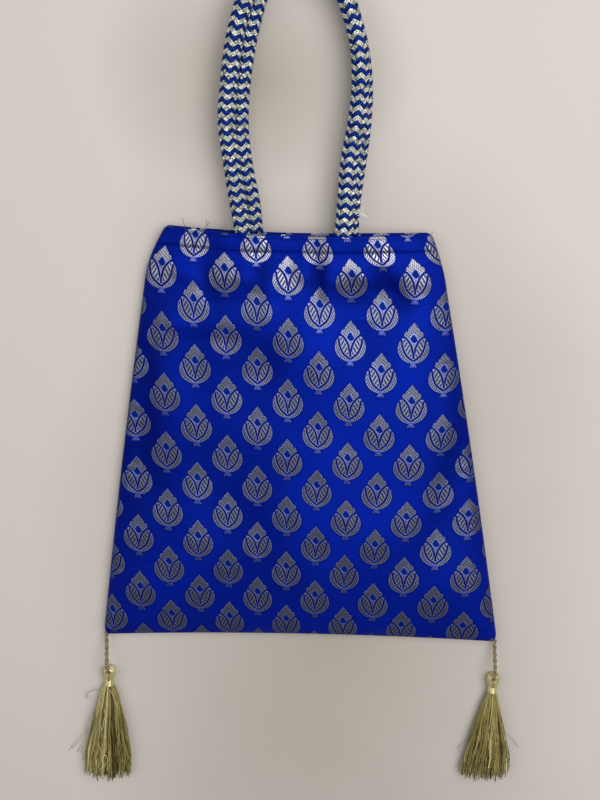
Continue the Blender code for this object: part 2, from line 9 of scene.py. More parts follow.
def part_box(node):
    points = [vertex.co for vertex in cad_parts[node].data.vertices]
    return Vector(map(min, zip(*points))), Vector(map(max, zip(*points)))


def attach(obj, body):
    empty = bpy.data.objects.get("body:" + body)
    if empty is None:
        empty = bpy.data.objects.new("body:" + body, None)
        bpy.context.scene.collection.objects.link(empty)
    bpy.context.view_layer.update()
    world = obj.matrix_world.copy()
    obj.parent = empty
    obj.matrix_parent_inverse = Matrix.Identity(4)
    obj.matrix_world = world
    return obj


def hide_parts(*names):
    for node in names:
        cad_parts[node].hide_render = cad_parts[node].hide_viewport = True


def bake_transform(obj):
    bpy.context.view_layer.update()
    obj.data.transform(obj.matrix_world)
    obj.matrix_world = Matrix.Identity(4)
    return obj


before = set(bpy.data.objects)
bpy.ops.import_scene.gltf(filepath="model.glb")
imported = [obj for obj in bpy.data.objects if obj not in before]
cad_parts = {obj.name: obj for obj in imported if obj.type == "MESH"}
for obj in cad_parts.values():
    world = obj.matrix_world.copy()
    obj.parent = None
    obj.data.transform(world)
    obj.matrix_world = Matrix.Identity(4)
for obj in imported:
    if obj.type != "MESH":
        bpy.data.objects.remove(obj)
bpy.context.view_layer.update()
print("frame loaded")

# Lengths are in metres. The bag lies on its back, X across it, Y towards the handles.
# Every cloth shape below is worked out from these, and x, t are a point of the flat bag.
bag = {
    "bottomWidth": 0.254,
    "topWidth": 0.166,
    "height": 0.2585,
    "sideBow": 0.0012,
    "cornerRadius": 0.006,
    "hemCornerRadius": 0.003,
    "hemPullLeft": 0.0085,
    "hemPullRight": 0.004,
    "hemPullDepth": 0.026,
    "hemLiftLeft": 0.003,
    "hemLiftRight": 0.0022,
    "hemLiftDepth": 0.040,
    "bottomHollow": 0.003,
    "seamSlope": tan(radians(-2.0)),
    "cloth": 0.0012,
    "lining": 0.0006,
    "hemDepth": 0.010,
    "hemExtra": 0.0006,
    "stitchWidth": 0.0016,
    "liningInset": 0.003,
    "liningDrop": 0.001,
    "liningSlack": 0.0003,
    "seamRise": 0.003,
    "insideMiddle": 0.0156,
    "insideMouth": 0.0130,
    "shoulder": 0.060,
    "backShoulder": 0.030,
    "fullnessPower": 0.6,
    "gap": 0.0003,
    "tailLength": 0.018,
    "tailWidth": 0.013,
    "tailThickness": 0.0032,
    "tailFall": 0.016,
}

# Each handle from the hem up: rise over the hem, half the distance between its legs, and how far
# their middle lies to the right of the bag's middle. A round arc closes it.
frontLoop = [
    (0.0000, 0.0280, -0.0006),
    (0.0191, 0.0304, -0.0014),
    (0.0412, 0.0329, -0.0019),
    (0.0628, 0.0360, -0.0009),
    (0.0839, 0.0360, 0.0011),
    (0.1045, 0.0336, 0.0020),
    (0.1246, 0.0277, 0.0021),
]
backLoop = [
    (0.0, 0.0275, 0.0043),
    (0.0185, 0.0289, 0.0042),
    (0.0410, 0.0325, 0.0039),
    (0.0630, 0.0346, 0.0045),
    (0.0845, 0.0339, 0.0056),
    (0.1055, 0.0305, 0.0060),
    (0.1260, 0.0244, 0.0056),
]
rope = {"radius": 0.005, "arcTilt": radians(20.0), "legSag": 0.002}


def ramp(start, end, value):
    share = min(max((value - start) / (end - start), 0.0), 1.0)
    return share * share * (3 - 2 * share)


def sideHalfWidth(t):
    share = t / bag["height"]
    straight = bag["bottomWidth"] + (bag["topWidth"] - bag["bottomWidth"]) * share
    return straight / 2 + bag["sideBow"] * sin(pi * min(max(share, 0.0), 1.0))


def rounding(distance, radius):
    if distance >= radius:
        return 0.0
    return radius - sqrt(radius**2 - (radius - max(distance, 0.0)) ** 2)


def rowHalfWidth(t):
    atBottom = rounding(t, bag["cornerRadius"])
    atHem = rounding(bag["height"] - t, bag["hemCornerRadius"])
    return sideHalfWidth(t) - atBottom - atHem


def hemPull(x, t):
    # The hem's stitching draws its two corners in
    share = max((t - bag["height"]) / bag["hemPullDepth"] + 1, 0.0)
    most = bag["hemPullLeft"] if x < 0 else bag["hemPullRight"]
    return most * share**1.5 * (x / sideHalfWidth(t)) ** 4


def hemLift(x, t):
    # The hem's two ends ride up beside its middle
    share = ramp(bag["height"] - bag["hemLiftDepth"], bag["height"], t)
    most = bag["hemLiftLeft"] if x < 0 else bag["hemLiftRight"]
    return most * share * abs(x / sideHalfWidth(t)) ** 1.6


def across(x, t):
    hollow = bag["bottomHollow"] * (1 - (2 * x / bag["bottomWidth"]) ** 2)
    hollow *= 1 - t / bag["height"]
    drawn = x - hemPull(x, t) if x > 0 else x + hemPull(x, t)
    y = t - bag["height"] / 2 + hollow + bag["seamSlope"] * x + hemLift(x, t)
    return Vector((drawn, y))


def swell(distance, shoulder):
    share = min(max(distance / shoulder, 0.0), 1.0)
    return (1 - (1 - share) ** 2) ** bag["fullnessPower"]


def fullness(x, t, shoulder):
    toSide = max(sideHalfWidth(t) - abs(x), 1e-6)
    toBottom = max(t, 1e-6)
    return swell((toSide**-3 + toBottom**-3) ** (-1 / 3), shoulder)


def hemExtra(t):
    line = bag["height"] - bag["hemDepth"]
    half = bag["stitchWidth"] / 2
    return bag["hemExtra"] * ramp(line - half, line + half, t)


def feetOf(loop):
    return [loop[0][2] - loop[0][1], loop[0][2] + loop[0][1]]


frontFeet = feetOf(frontLoop)
backFeet = feetOf(backLoop)


def tailLift(x, t, feet):
    top = bag["height"] - bag["tailLength"]
    fall = bag["tailFall"]
    along = ramp(top - 1.5 * fall, top - 0.3 * fall, t)
    over = 0.0
    for foot in feet:
        beyond = abs(x - foot) - bag["tailWidth"] / 2
        over = max(over, 1 - ramp(0.2 * fall, 1.2 * fall, beyond))
    return (bag["tailThickness"] + 2 * bag["gap"]) * along * over


def backOuter(x, t):
    return bag["seamRise"] * (1 - fullness(x, t, bag["backShoulder"]))


def backInner(x, t):
    return backOuter(x, t) + bag["cloth"] + hemExtra(t)


def backLiningLow(x, t):
    return backInner(x, t) + bag["gap"] + tailLift(x, t, backFeet)


def frontBed(x, t):
    rise = ramp(0.6 * bag["height"], bag["height"], t)
    inside = bag["insideMiddle"] + (bag["insideMouth"] - bag["insideMiddle"]) * rise
    crown = inside + bag["lining"] + bag["gap"]
    rim = bag["seamRise"] + bag["cloth"] + hemExtra(t) + bag["gap"]
    return rim + (crown - rim) * fullness(x, t, bag["shoulder"])


def frontInner(x, t):
    return frontBed(x, t) + tailLift(x, t, frontFeet)


def frontOuter(x, t):
    return frontInner(x, t) + bag["cloth"] + hemExtra(t)


def frontLiningHigh(x, t):
    slack = bag["liningSlack"] * (1 - fullness(x, t, bag["shoulder"]))
    return frontBed(x, t) - bag["gap"] - slack


# Camera, where the photograph was taken from
photoCamera = {
    "place": (0.0036, 0.1861, 0.5890),
    "aim": (0.0016, 0.0294, 0.0044),
    "right": (0.9999, -0.0129, 0.0),
    "lens": 45.0,
    "sensor": 36.0,
}


def setCamera():
    made = bpy.data.cameras.new("photoCamera")
    made.lens = photoCamera["lens"]
    made.sensor_fit = "VERTICAL"
    made.sensor_height = photoCamera["sensor"]
    made.clip_start = 0.01
    shown = bpy.data.objects.new("photoCamera", made)
    bpy.context.scene.collection.objects.link(shown)
    place = Vector(photoCamera["place"])
    back = (place - Vector(photoCamera["aim"])).normalized()
    right = Vector(photoCamera["right"])
    right = (right - back * right.dot(back)).normalized()
    up = back.cross(right)
    turned = Matrix((right, up, back)).transposed().to_4x4()
    shown.matrix_world = Matrix.Translation(place) @ turned
    bpy.context.scene.camera = shown


setCamera()
print("camera set")


# Materials. The maths of the woven pattern runs on the cloth's own flat coordinates.
class Net:
    def __init__(self, name):
        self.material = bpy.data.materials.new(name)
        self.material.use_nodes = True
        self.tree = self.material.node_tree
        self.shader = self.tree.nodes["Principled BSDF"]

    def node(self, kind, **settings):
        made = self.tree.nodes.new(kind)
        for key, value in settings.items():
            setattr(made, key, value)
        return made

    def feed(self, socket, value):
        if isinstance(value, bpy.types.NodeSocket):
            self.tree.links.new(value, socket)
        else:
            socket.default_value = value

    def calc(self, operation, first, second=0.0, third=0.0):
        made = self.node("ShaderNodeMath", operation=operation)
        for socket, value in zip(made.inputs, (first, second, third)):
            self.feed(socket, value)
        return made.outputs[0]

    def add(self, a, b):
        return self.calc("ADD", a, b)

    def take(self, a, b):
        return self.calc("SUBTRACT", a, b)

    def times(self, a, b):
        return self.calc("MULTIPLY", a, b)

    def least(self, a, b):
        return self.calc("MINIMUM", a, b)

    def most(self, a, b):
        return self.calc("MAXIMUM", a, b)

    def inside(self, distance, soft=0.12):
        # 1 where a distance is below zero, with an edge of soft millimetres
        made = self.node("ShaderNodeMapRange", clamp=True)
        self.feed(made.inputs["Value"], distance)
        made.inputs["From Min"].default_value = soft
        made.inputs["From Max"].default_value = -soft
        return made.outputs["Result"]

    def circle(self, x, y, centre, radius):
        dx = self.take(x, centre[0])
        dy = self.take(y, centre[1])
        square = self.add(self.times(dx, dx), self.times(dy, dy))
        return self.take(self.calc("SQRT", square), radius)

    def repeat(self, value, shift):
        # Runs from -0.5 to 0.5 again and again, and the shift keeps what is cut up positive
        return self.take(self.calc("FRACT", self.add(value, shift)), 0.5)

    def beyond(self, value, span):
        # How far a value lies outside a span, below zero within it
        return self.most(self.take(span[0], value), self.take(value, span[1]))

    def line(self, x, y, place, normal):
        length = hypot(*normal)
        a, b = normal[0] / length, normal[1] / length
        offset = place[0] * a + place[1] * b
        return self.take(self.add(self.times(x, a), self.times(y, b)), offset)

    def stripes(self, x, y, angle, pitch, share, start):
        # 1 on the dark strokes of a hatch
        run = self.line(x, y, (0, 0), (cos(angle), sin(angle)))
        run = self.take(run, start)
        wave = self.calc("PINGPONG", run, pitch / 2)
        return self.inside(self.take(wave, share * pitch / 2), 0.14)

    def blend(self, factor, first, second):
        made = self.node("ShaderNodeMix", data_type="RGBA")
        self.feed(made.inputs[0], factor)
        self.feed(made.inputs[6], first)
        self.feed(made.inputs[7], second)
        return made.outputs[2]

    def level(self, factor, low, high):
        made = self.node("ShaderNodeMapRange", clamp=True)
        self.feed(made.inputs["Value"], factor)
        self.feed(made.inputs["To Min"], low)
        self.feed(made.inputs["To Max"], high)
        return made.outputs["Result"]

    def flat(self):
        made = self.node("ShaderNodeUVMap", uv_map="flat")
        split = self.node("ShaderNodeSeparateXYZ")
        self.tree.links.new(made.outputs["UV"], split.inputs[0])
        return split.outputs["X"], split.outputs["Y"], made.outputs["UV"]

    def noise(self, vector, scale, detail):
        made = self.node("ShaderNodeTexNoise")
        self.feed(made.inputs["Vector"], vector)
        made.inputs["Scale"].default_value = scale
        made.inputs["Detail"].default_value = detail
        made.inputs["Roughness"].default_value = 0.5
        return made.outputs["Fac"]

    def stretch(self, vector, scale):
        made = self.node("ShaderNodeMapping")
        self.feed(made.inputs["Vector"], vector)
        made.inputs["Scale"].default_value = scale
        return made.outputs["Vector"]

    def objectPlace(self):
        return self.node("ShaderNodeTexCoord").outputs["Object"]

    def bump(self, height, distance, strength):
        made = self.node("ShaderNodeBump")
        made.inputs["Strength"].default_value = strength
        made.inputs["Distance"].default_value = distance
        self.feed(made.inputs["Height"], height)
        return made.outputs["Normal"]

    def finish(self, **sockets):
        for name, value in sockets.items():
            self.feed(self.shader.inputs[name.replace("_", " ")], value)
        return self.material


# The woven bud in millimetres about its middle, and the half-drop lattice it repeats on.
# A cut is a place and the direction it faces: the part ends where the cut begins.
booti = {
    "pitch": 0.0365,
    "turn": radians(-1.5),
    "start": (-0.0043, 0.2332),
    "size": 0.979,
    "fray": 1.5,
    "sideFray": 0.7,
    "rim": 9.2,
    "rimHeight": -2.2,
    "rimSquash": 1.09,
    "crescentTop": ((7.8, 2.5), (0.3, 0.95)),
    "separator": ((-9.0, 3.0), 16.0),
    "keel": ((3.87, -6.43), (0.62, -0.78)),
    "petalArc": ((12.94, -4.95), 12.33),
    "petalTop": ((7.2, 4.1), (0.19, 0.98)),
    "petalFoot": -9.5,
    "tip": ((0.0, 13.6), (0.783, 0.622)),
    "tipHalf": 3.4,
    "tierHalf": 5.6,
    "tierTop": 8.2,
    "tierCuts": [
        ((4.7, 8.15), (0.817, 0.577)),
        ((5.3, 7.3), (0.949, 0.316)),
        ((5.2, 5.2), (0.83, -0.55)),
    ],
    "crownFoot": -9.3,
    "gem": ((-0.75, 6.3), (0.45, 6.3), (2.3, 3.2), (2.1, 2.4), (0.3, 1.3), (-0.9, 1.9), (-2.3, 3.6)),
    "footTop": -9.9,
    "footEnd": -13.1,
    "footWaist": (-10.2, 0.75),
    "footFlare": 0.52,
    "toeMiddle": 0.85,
    "toeTop": -12.5,
    "toeFlare": (-12.3, 0.45),
    "lineHalf": 0.59,
    "arcLineFoot": -4.6,
    "rimLineSpan": (-9.6, 2.9),
    "slitSpan": (-7.9, -4.2),
    # angle, pitch, share of dark and start of each hatch
    "petalHatch": (radians(30), 1.93, 0.50, 0.4),
    "crescentHatch": (radians(30), 1.25, 0.52, -0.3),
    # direction, shift and spacing of the two ways in which the crown's dots repeat
    "dotLattice": [((0.841, -0.230), 100.63, 1.26), ((0.4285, 0.5195), 100.17, 1.55)],
    "dotRadius": 0.46,
    "edge": 0.34,
}
brocade = {
    "royal": (0.0010, 0.0105, 0.270, 1.0),
    "royalDeep": (0.0004, 0.0040, 0.130, 1.0),
    "toneSpan": (-0.35, 1.25),
    # How strongly shade is painted into the folds' hollows and light onto their crests
    "hollowPaintedShade": 0.85,
    "satin": 0.40,
    "satinTint": (0.10, 0.32, 1.0, 1.0),
    "groundRoughness": 0.56,
    "silver": (0.195, 0.180, 0.280, 1.0),
    "silverWarm": (0.160, 0.185, 0.190, 1.0),
    "silverPale": (0.150, 0.185, 0.520, 1.0),
    "silverLit": (0.620, 0.600, 0.680, 1.0),
    "silverShade": (0.012, 0.017, 0.036, 1.0),
    "footBlue": (0.022, 0.045, 0.250, 1.0),
    "crownShade": 0.24,
    "glintSpan": (-0.9, 1.9),
    "glintShade": 0.40,
    "edgePale": 0.80,
    "edgeSpared": 0.85,
    "hatchShade": 0.96,
    "hatchDull": 0.25,
    "footShade": 0.80,
    "litFrom": 0.218,
    "litOver": 0.028,
    "lit": 0.75,
    "zariMetal": 0.80,
    "zariRoughness": 0.35,
    "glintRoughness": 0.10,
    "jewel": (0.0010, 0.0110, 0.150, 1.0),
    "halo": 0.80,
    "haloReach": 0.9,
    "haloSoft": 0.6,
    "haloBlue": (0.0006, 0.0040, 0.118, 1.0),
    "lineBlue": (0.0030, 0.0020, 0.060, 1.0),
    "specular": 0.22,
    "warpPitch": 0.00034,
    "relief": 0.00020,
    "reliefStrength": 0.6,
}


def budPlace(net, u, v):
    # Where a point of the cloth lies from the middle of its bud
    perPitch = 1 / booti["pitch"]
    cosTurn, sinTurn = cos(booti["turn"]), sin(booti["turn"])
    du = net.take(u, booti["start"][0])
    dv = net.take(v, booti["start"][1])
    a = net.times(net.add(net.times(du, cosTurn), net.times(dv, sinTurn)), perPitch)
    b = net.times(net.take(net.times(dv, cosTurn), net.times(du, sinTurn)), perPitch)
    fa, fb = net.repeat(a, 100.5), net.repeat(b, 100.5)
    # Past the edge of its diamond a point belongs to the rows between
    spread = net.add(net.calc("ABSOLUTE", fa), net.calc("ABSOLUTE", fb))
    other = net.times(net.calc("GREATER_THAN", spread, 0.5), 0.5)
    fa = net.take(fa, net.times(net.calc("SIGN", fa), other))
    fb = net.take(fb, net.times(net.calc("SIGN", fb), other))
    toMillimetres = booti["pitch"] * 1000 / booti["size"]
    return net.times(fa, toMillimetres), net.times(fb, toMillimetres)


class Bud:
    # How far a point lies outside each part of the bud, below zero inside the part
    def __init__(self, net, x, y, fray):
        self.net, self.x, self.y = net, x, y
        self.side = net.calc("ABSOLUTE", x)
        self.sideOut = net.add(self.side, net.times(fray, booti["sideFray"]))
        self.yOut = net.add(y, fray)
        self.inner = net.circle(self.side, y, *booti["petalArc"])
        separator = net.circle(self.side, y, *booti["separator"])
        self.outer = net.most(separator, net.line(self.side, y, *booti["keel"]))
        self.crescent = self.makeCrescent()
        self.petal = self.makePetal()
        self.crown = self.makeCrown()
        self.gem = self.makeGem()
        self.foot = self.makeFoot()
        lobes = net.least(self.crescent, self.petal)
        self.whole = net.least(lobes, net.least(self.crown, self.foot))

    def makeCrescent(self):
        net = self.net
        below = net.least(net.take(self.yOut, booti["rimHeight"]), 0.0)
        above = net.most(net.take(self.yOut, booti["rimHeight"]), 0.0)
        rimY = net.add(above, net.times(below, booti["rimSquash"]))
        rim = net.circle(self.sideOut, rimY, (0.0, 0.0), booti["rim"])
        crescent = net.most(rim, net.line(self.sideOut, self.yOut, *booti["crescentTop"]))
        return net.most(crescent, net.times(self.outer, -1.0))

    def makePetal(self):
        net = self.net
        top = net.line(self.sideOut, self.yOut, *booti["petalTop"])
        petal = net.most(net.most(self.inner, self.outer), top)
        return net.most(petal, net.take(booti["petalFoot"], self.y))

    def makeCrown(self):
        net = self.net
        tip = net.line(self.sideOut, self.yOut, *booti["tip"])
        tip = net.most(tip, net.take(self.sideOut, booti["tipHalf"]))
        tierSide = net.take(self.sideOut, booti["tierHalf"])
        tier = net.most(tierSide, net.take(self.yOut, booti["tierTop"]))
        for place, normal in booti["tierCuts"]:
            tier = net.most(tier, net.line(self.sideOut, self.yOut, place, normal))
        crown = net.most(net.least(tip, tier), net.times(self.inner, -1.0))
        return net.most(crown, net.take(booti["crownFoot"], self.y))

    def makeGem(self):
        gem = -1000.0
        corners = booti["gem"]
        for here, there in zip(corners, corners[1:] + corners[:1]):
            outward = (here[1] - there[1], there[0] - here[0])
            gem = self.net.most(gem, self.net.line(self.x, self.y, here, outward))
        return gem

    def makeFoot(self):
        net, y = self.net, self.y
        waist, half = booti["footWaist"]
        foot = net.most(net.take(y, booti["footTop"]), net.take(booti["footEnd"], self.yOut))
        flare = net.times(net.take(waist, y), booti["footFlare"])
        foot = net.most(foot, net.take(self.sideOut, net.add(flare, half)))
        fromToe = net.calc("ABSOLUTE", net.take(self.side, booti["toeMiddle"]))
        toes = net.most(fromToe, net.take(y, booti["toeTop"]))
        start, flare = booti["toeFlare"]
        toes = net.take(toes, net.times(net.take(start, y), flare))
        return net.most(foot, net.times(toes, -1.0))

    def lines(self):
        # Dark lines part the petals, the crown and the two crescents
        net, y, half = self.net, self.y, booti["lineHalf"]
        arcLine = net.take(net.calc("ABSOLUTE", self.inner), half)
        arcLine = net.most(arcLine, net.take(booti["arcLineFoot"], y))
        rimLine = net.take(net.calc("ABSOLUTE", self.outer), half)
        rimLine = net.most(rimLine, net.beyond(y, booti["rimLineSpan"]))
        slit = net.most(net.take(self.side, half), net.beyond(y, booti["slitSpan"]))
        return net.least(net.least(arcLine, rimLine), slit)

    def hatch(self, edge):
        # The dark strokes of the petals and the crescents, and the crown's dots
        net = self.net
        strokes = net.stripes(self.side, self.y, *booti["petalHatch"])
        ticks = net.stripes(self.side, self.y, *booti["crescentHatch"])
        steps = []
        for (a, b), shift, spacing in booti["dotLattice"]:
            run = net.add(net.times(self.x, a), net.times(self.y, b))
            steps.append(net.times(net.repeat(run, shift), spacing))
        dots = net.inside(net.circle(*steps, (0.0, 0.0), booti["dotRadius"]), 0.20)
        crownDark = net.most(dots, brocade["crownShade"])
        dark = net.times(strokes, net.inside(self.petal))
        dark = net.add(dark, net.times(crownDark, net.inside(self.crown)))
        dark = net.add(dark, net.times(ticks, net.inside(self.crescent)))
        return net.times(dark, net.take(1.0, net.times(edge, brocade["edgeSpared"])))


def satinGround(net, flat, slubs, bud, lines):
    # Satin with a slow change of tone, slubs and pulls, painted shade in the folds' hollows and
    # painted light on their crests and puffs, and darker round each bud
    slow = net.noise(net.stretch(flat, (14, 9, 1)), 1.0, 3.0)
    pulls = net.noise(net.stretch(flat, (16, 620, 1)), 1.0, 1.0)
    tone = net.add(net.times(slow, 0.45), net.times(slubs, 0.35))
    tone = net.add(tone, net.times(pulls, 0.30))
    # Painted shade and light: the fold depth stored on the cloth darkens the hollows and lightens
    # the crests and puffs
    hollow = net.node("ShaderNodeAttribute", attribute_name="hollow").outputs["Fac"]
    tone = net.take(tone, net.times(hollow, brocade["hollowPaintedShade"]))
    tone = net.level(tone, *brocade["toneSpan"])
    ground = net.blend(tone, brocade["royalDeep"], brocade["royal"])
    halo = net.inside(net.take(bud.whole, brocade["haloReach"]), brocade["haloSoft"])
    ground = net.blend(net.times(halo, brocade["halo"]), ground, brocade["haloBlue"])
    inLines = net.inside(net.most(lines, net.take(bud.whole, 0.1)), 0.16)
    return net.blend(inLines, ground, brocade["lineBlue"])


def silverWeft(net, flat, v, glint, bud, edge, dark):
    # Metal thread of two hues, with a painted highlight near the hem, where the hem leans towards
    # the light
    hue = net.noise(net.stretch(flat, (310, 260, 1)), 1.0, 1.0)
    hue = net.level(net.take(net.times(hue, 3.0), 1.0), 0.0, 1.0)
    tone = net.blend(hue, brocade["silverWarm"], brocade["silver"])
    nearHem = net.times(net.take(v, brocade["litFrom"]), 1 / brocade["litOver"])
    nearHem = net.times(net.level(nearHem, 0.0, 1.0), brocade["lit"])
    tone = net.blend(nearHem, tone, brocade["silverLit"])
    tone = net.blend(net.times(glint, brocade["glintShade"]), tone, brocade["silverShade"])
    tone = net.blend(net.times(edge, brocade["edgePale"]), tone, brocade["silverPale"])
    tone = net.blend(net.times(dark, brocade["hatchShade"]), tone, brocade["silverShade"])
    inFoot = net.times(net.inside(bud.foot), brocade["footShade"])
    return net.blend(inFoot, tone, brocade["footBlue"])


def brocadeMaterial():
    net = Net("royalBrocade")
    u, v, flat = net.flat()
    # The weft steps from thread to thread, so every outline is a little ragged
    fray = net.noise(net.stretch(flat, (2300, 2900, 1)), 1.0, 1.0)
    fray = net.times(net.take(fray, 0.5), booti["fray"])
    bud = Bud(net, *budPlace(net, u, v), fray)
    lines = bud.lines()
    metal = net.most(bud.whole, net.times(lines, -1.0))
    silver = net.inside(metal, 0.16)
    gemEdge = net.times(net.inside(net.take(bud.gem, 0.5), 0.15), net.inside(bud.crown))
    edge = net.most(net.inside(net.take(-booti["edge"], metal), 0.20), gemEdge)
    dark = bud.hatch(edge)
    slubs = net.noise(net.stretch(flat, (46, 1500, 1)), 1.0, 2.0)
    glint = net.noise(net.stretch(flat, (1900, 2600, 1)), 1.0, 1.0)
    glint = net.level(glint, *brocade["glintSpan"])
    ground = satinGround(net, flat, slubs, bud, lines)
    colour = net.blend(silver, ground, silverWeft(net, flat, v, glint, bud, edge, dark))
    inGem = net.inside(bud.gem, 0.22)
    colour = net.blend(inGem, colour, brocade["jewel"])

    isSilver = net.times(silver, net.take(1.0, inGem))
    roughness = net.level(isSilver, brocade["groundRoughness"], brocade["zariRoughness"])
    uneven = net.times(net.take(glint, 0.5), brocade["glintRoughness"])
    zari = net.take(brocade["zariMetal"], net.times(dark, brocade["hatchDull"]))
    warp = net.calc("PINGPONG", u, brocade["warpPitch"] / 2)
    warp = net.times(warp, 2 / brocade["warpPitch"])
    relief = net.add(net.times(isSilver, 0.9), net.times(dark, -0.45))
    relief = net.add(relief, net.times(warp, 0.10))
    relief = net.add(relief, net.times(slubs, 0.22))
    relief = net.add(relief, net.times(glint, 0.22))
    return net.finish(
        Base_Color=colour,
        Roughness=net.add(roughness, uneven),
        Metallic=net.level(isSilver, brocade["satin"], zari),
        Specular_IOR_Level=brocade["specular"],
        Specular_Tint=brocade["satinTint"],
        Normal=net.bump(relief, brocade["relief"], brocade["reliefStrength"]),
    )


lining = {
    "deep": (0.002, 0.006, 0.070, 1),
    "navy": (0.005, 0.014, 0.14, 1),
    "halfPitch": 0.00018,
    "weave": 2700.0,
    "roughness": 0.62,
}


def liningMaterial():
    net = Net("navyLining")
    u, v, flat = net.flat()
    warp = net.calc("PINGPONG", u, lining["halfPitch"])
    weft = net.calc("PINGPONG", v, lining["halfPitch"])
    weave = net.times(net.add(warp, weft), lining["weave"])
    slow = net.noise(net.stretch(flat, (30, 30, 1)), 1.0, 3.0)
    return net.finish(
        Base_Color=net.blend(slow, lining["deep"], lining["navy"]),
        Roughness=lining["roughness"],
        Specular_IOR_Level=0.25,
        Normal=net.bump(weave, 0.00006, 0.6),
    )


def yarnMaterial(name, pale, shade, roughness, metallic, pitch, lean, fleck):
    # Filaments wind round the yarn. U runs round it and V along it, both in metres.
    net = Net(name)
    u, v, flat = net.flat()
    run = net.add(u, net.times(v, lean))
    filament = net.times(net.calc("PINGPONG", run, pitch / 2), 2 / pitch)
    patchy = net.noise(net.stretch(flat, (900, 260, 1)), 1.0, 2.0)
    flecks = net.noise(net.stretch(flat, (1300, 760, 1)), 1.0, 1.0)
    flecks = net.level(net.take(net.times(flecks, 4.4), 1.7), 0.0, 1.0)
    tone = net.add(net.times(filament, 0.45), net.times(patchy, 0.45))
    tone = net.blend(fleck, tone, flecks)
    return net.finish(
        Base_Color=net.blend(tone, shade, pale),
        Roughness=roughness,
        Metallic=metallic,
        Specular_IOR_Level=0.1,
        Normal=net.bump(net.add(filament, patchy), 0.00012, 0.7),
    )


def threadMaterial(name, pale, shade, roughness, metallic):
    net = Net(name)
    place = net.objectPlace()
    vary = net.noise(net.stretch(place, (1400, 160, 1400)), 1.0, 2.0)
    return net.finish(
        Base_Color=net.blend(vary, shade, pale),
        Roughness=roughness,
        Metallic=metallic,
    )


brocadeCloth = brocadeMaterial()
liningCloth = liningMaterial()
blueYarn = yarnMaterial(
    "royalYarn",
    pale=(0.0008, 0.034, 0.300, 1),
    shade=(0.0003, 0.003, 0.050, 1),
    roughness=0.42,
    metallic=0.40,
    pitch=0.0006,
    lean=0.35,
    fleck=0.25,
)
silverYarn = yarnMaterial(
    "silverYarn",
    pale=(0.98, 0.99, 0.86, 1),
    shade=(0.030, 0.040, 0.022, 1),
    roughness=0.26,
    metallic=0.45,
    pitch=0.0005,
    lean=0.8,
    fleck=0.85,
)
# The core's near-black colour is painted shade between the yarns
coreAndShadeYarn = yarnMaterial(
    "coreAndShadeYarn",
    pale=(0.004, 0.008, 0.05, 1),
    shade=(0.001, 0.002, 0.02, 1),
    roughness=0.7,
    metallic=0.0,
    pitch=0.0007,
    lean=0.3,
    fleck=0.3,
)
tanYarn = yarnMaterial(
    "tanCordYarn",
    pale=(0.42, 0.31, 0.19, 1),
    shade=(0.075, 0.045, 0.022, 1),
    roughness=0.45,
    metallic=0.1,
    pitch=0.0005,
    lean=0.5,
    fleck=0.6,
)
# Threads: the pale and the shaded colour, roughness and metal
threads = {
    "tasselThread": ((0.42, 0.35, 0.115, 1), (0.19, 0.155, 0.045, 1), 0.36, 0.25),
    "paleStrand": ((0.84, 0.76, 0.42, 1), (0.48, 0.41, 0.17, 1), 0.30, 0.20),
    # Dark dye: painted shade on the threads deep in a tassel, and the colour of its dark threads
    "shadeAndDarkThread": ((0.105, 0.080, 0.022, 1), (0.040, 0.030, 0.008, 1), 0.42, 0.15),
    "goldStrand": ((0.88, 0.80, 0.46, 1), (0.34, 0.29, 0.10, 1), 0.22, 0.62),
    "sewingThread": ((0.03, 0.04, 0.16, 1), (0.01, 0.01, 0.05, 1), 0.5, 0.0),
    "paleFluff": ((0.75, 0.75, 0.68, 1), (0.5, 0.5, 0.45, 1), 0.6, 0.0),
}
dyed = {name: threadMaterial(name, *look) for name, look in threads.items()}
print("materials made")


def pieceFrom(bm, name, materials):
    # The finished shape as an object at the origin
    mesh = bpy.data.meshes.new(name)
    bm.to_mesh(mesh)
    bm.free()
    for material in materials:
        mesh.materials.append(material)
    made = bpy.data.objects.new(name, mesh)
    bpy.context.scene.collection.objects.link(made)
    return made


# Routes of the ropes and the tassels' cords, the same as the solids'
def between(before, here, after, beyond, share):
    slopeHere = (after - before) / 2
    slopeAfter = (beyond - here) / 2
    square, cube = share**2, share**3
    return (
        (2 * cube - 3 * square + 1) * here
        + (cube - 2 * square + share) * slopeHere
        + (3 * square - 2 * cube) * after
        + (cube - square) * slopeAfter
    )


def legStart(x):
    return across(x, bag["height"]).y + bag["gap"] + abs(bag["seamSlope"]) * rope["radius"]


def loopRoute(loop, level, sagging, fine):
    # Left leg, arc and right leg of a handle, as points in space
    padded = [loop[0]] + loop + [loop[-1]]
    half = []
    for k in range(1, len(loop)):
        for step in range(fine):
            values = zip(*padded[k - 1 : k + 3])
            half.append([between(*value, step / fine) for value in values])
    rise, spread, shift = loop[-1]
    radius = spread / cos(rope["arcTilt"])
    steps = 4 * fine
    for step in range(steps + 1):
        angle = rope["arcTilt"] + (pi / 2 - rope["arcTilt"]) * step / steps
        up = radius * (sin(angle) - sin(rope["arcTilt"]))
        half.append([rise + up, radius * cos(angle), shift])
    hem = across(0, bag["height"]).y
    left = []
    for up, wide, middle in half:
        share = min(up / loop[-1][0], 1.0)
        sag = rope["legSag"] * sin(pi * share) ** 2 if sagging else 0.0
        left.append(Vector((middle - wide, hem + up, level - sag)))
    right = [Vector((middle + wide, hem + up, level)) for up, wide, middle in half[-2::-1]]
    feet = feetOf(loop)
    left[0].y = legStart(feet[0])
    right[-1].y = legStart(feet[1])
    return left + right


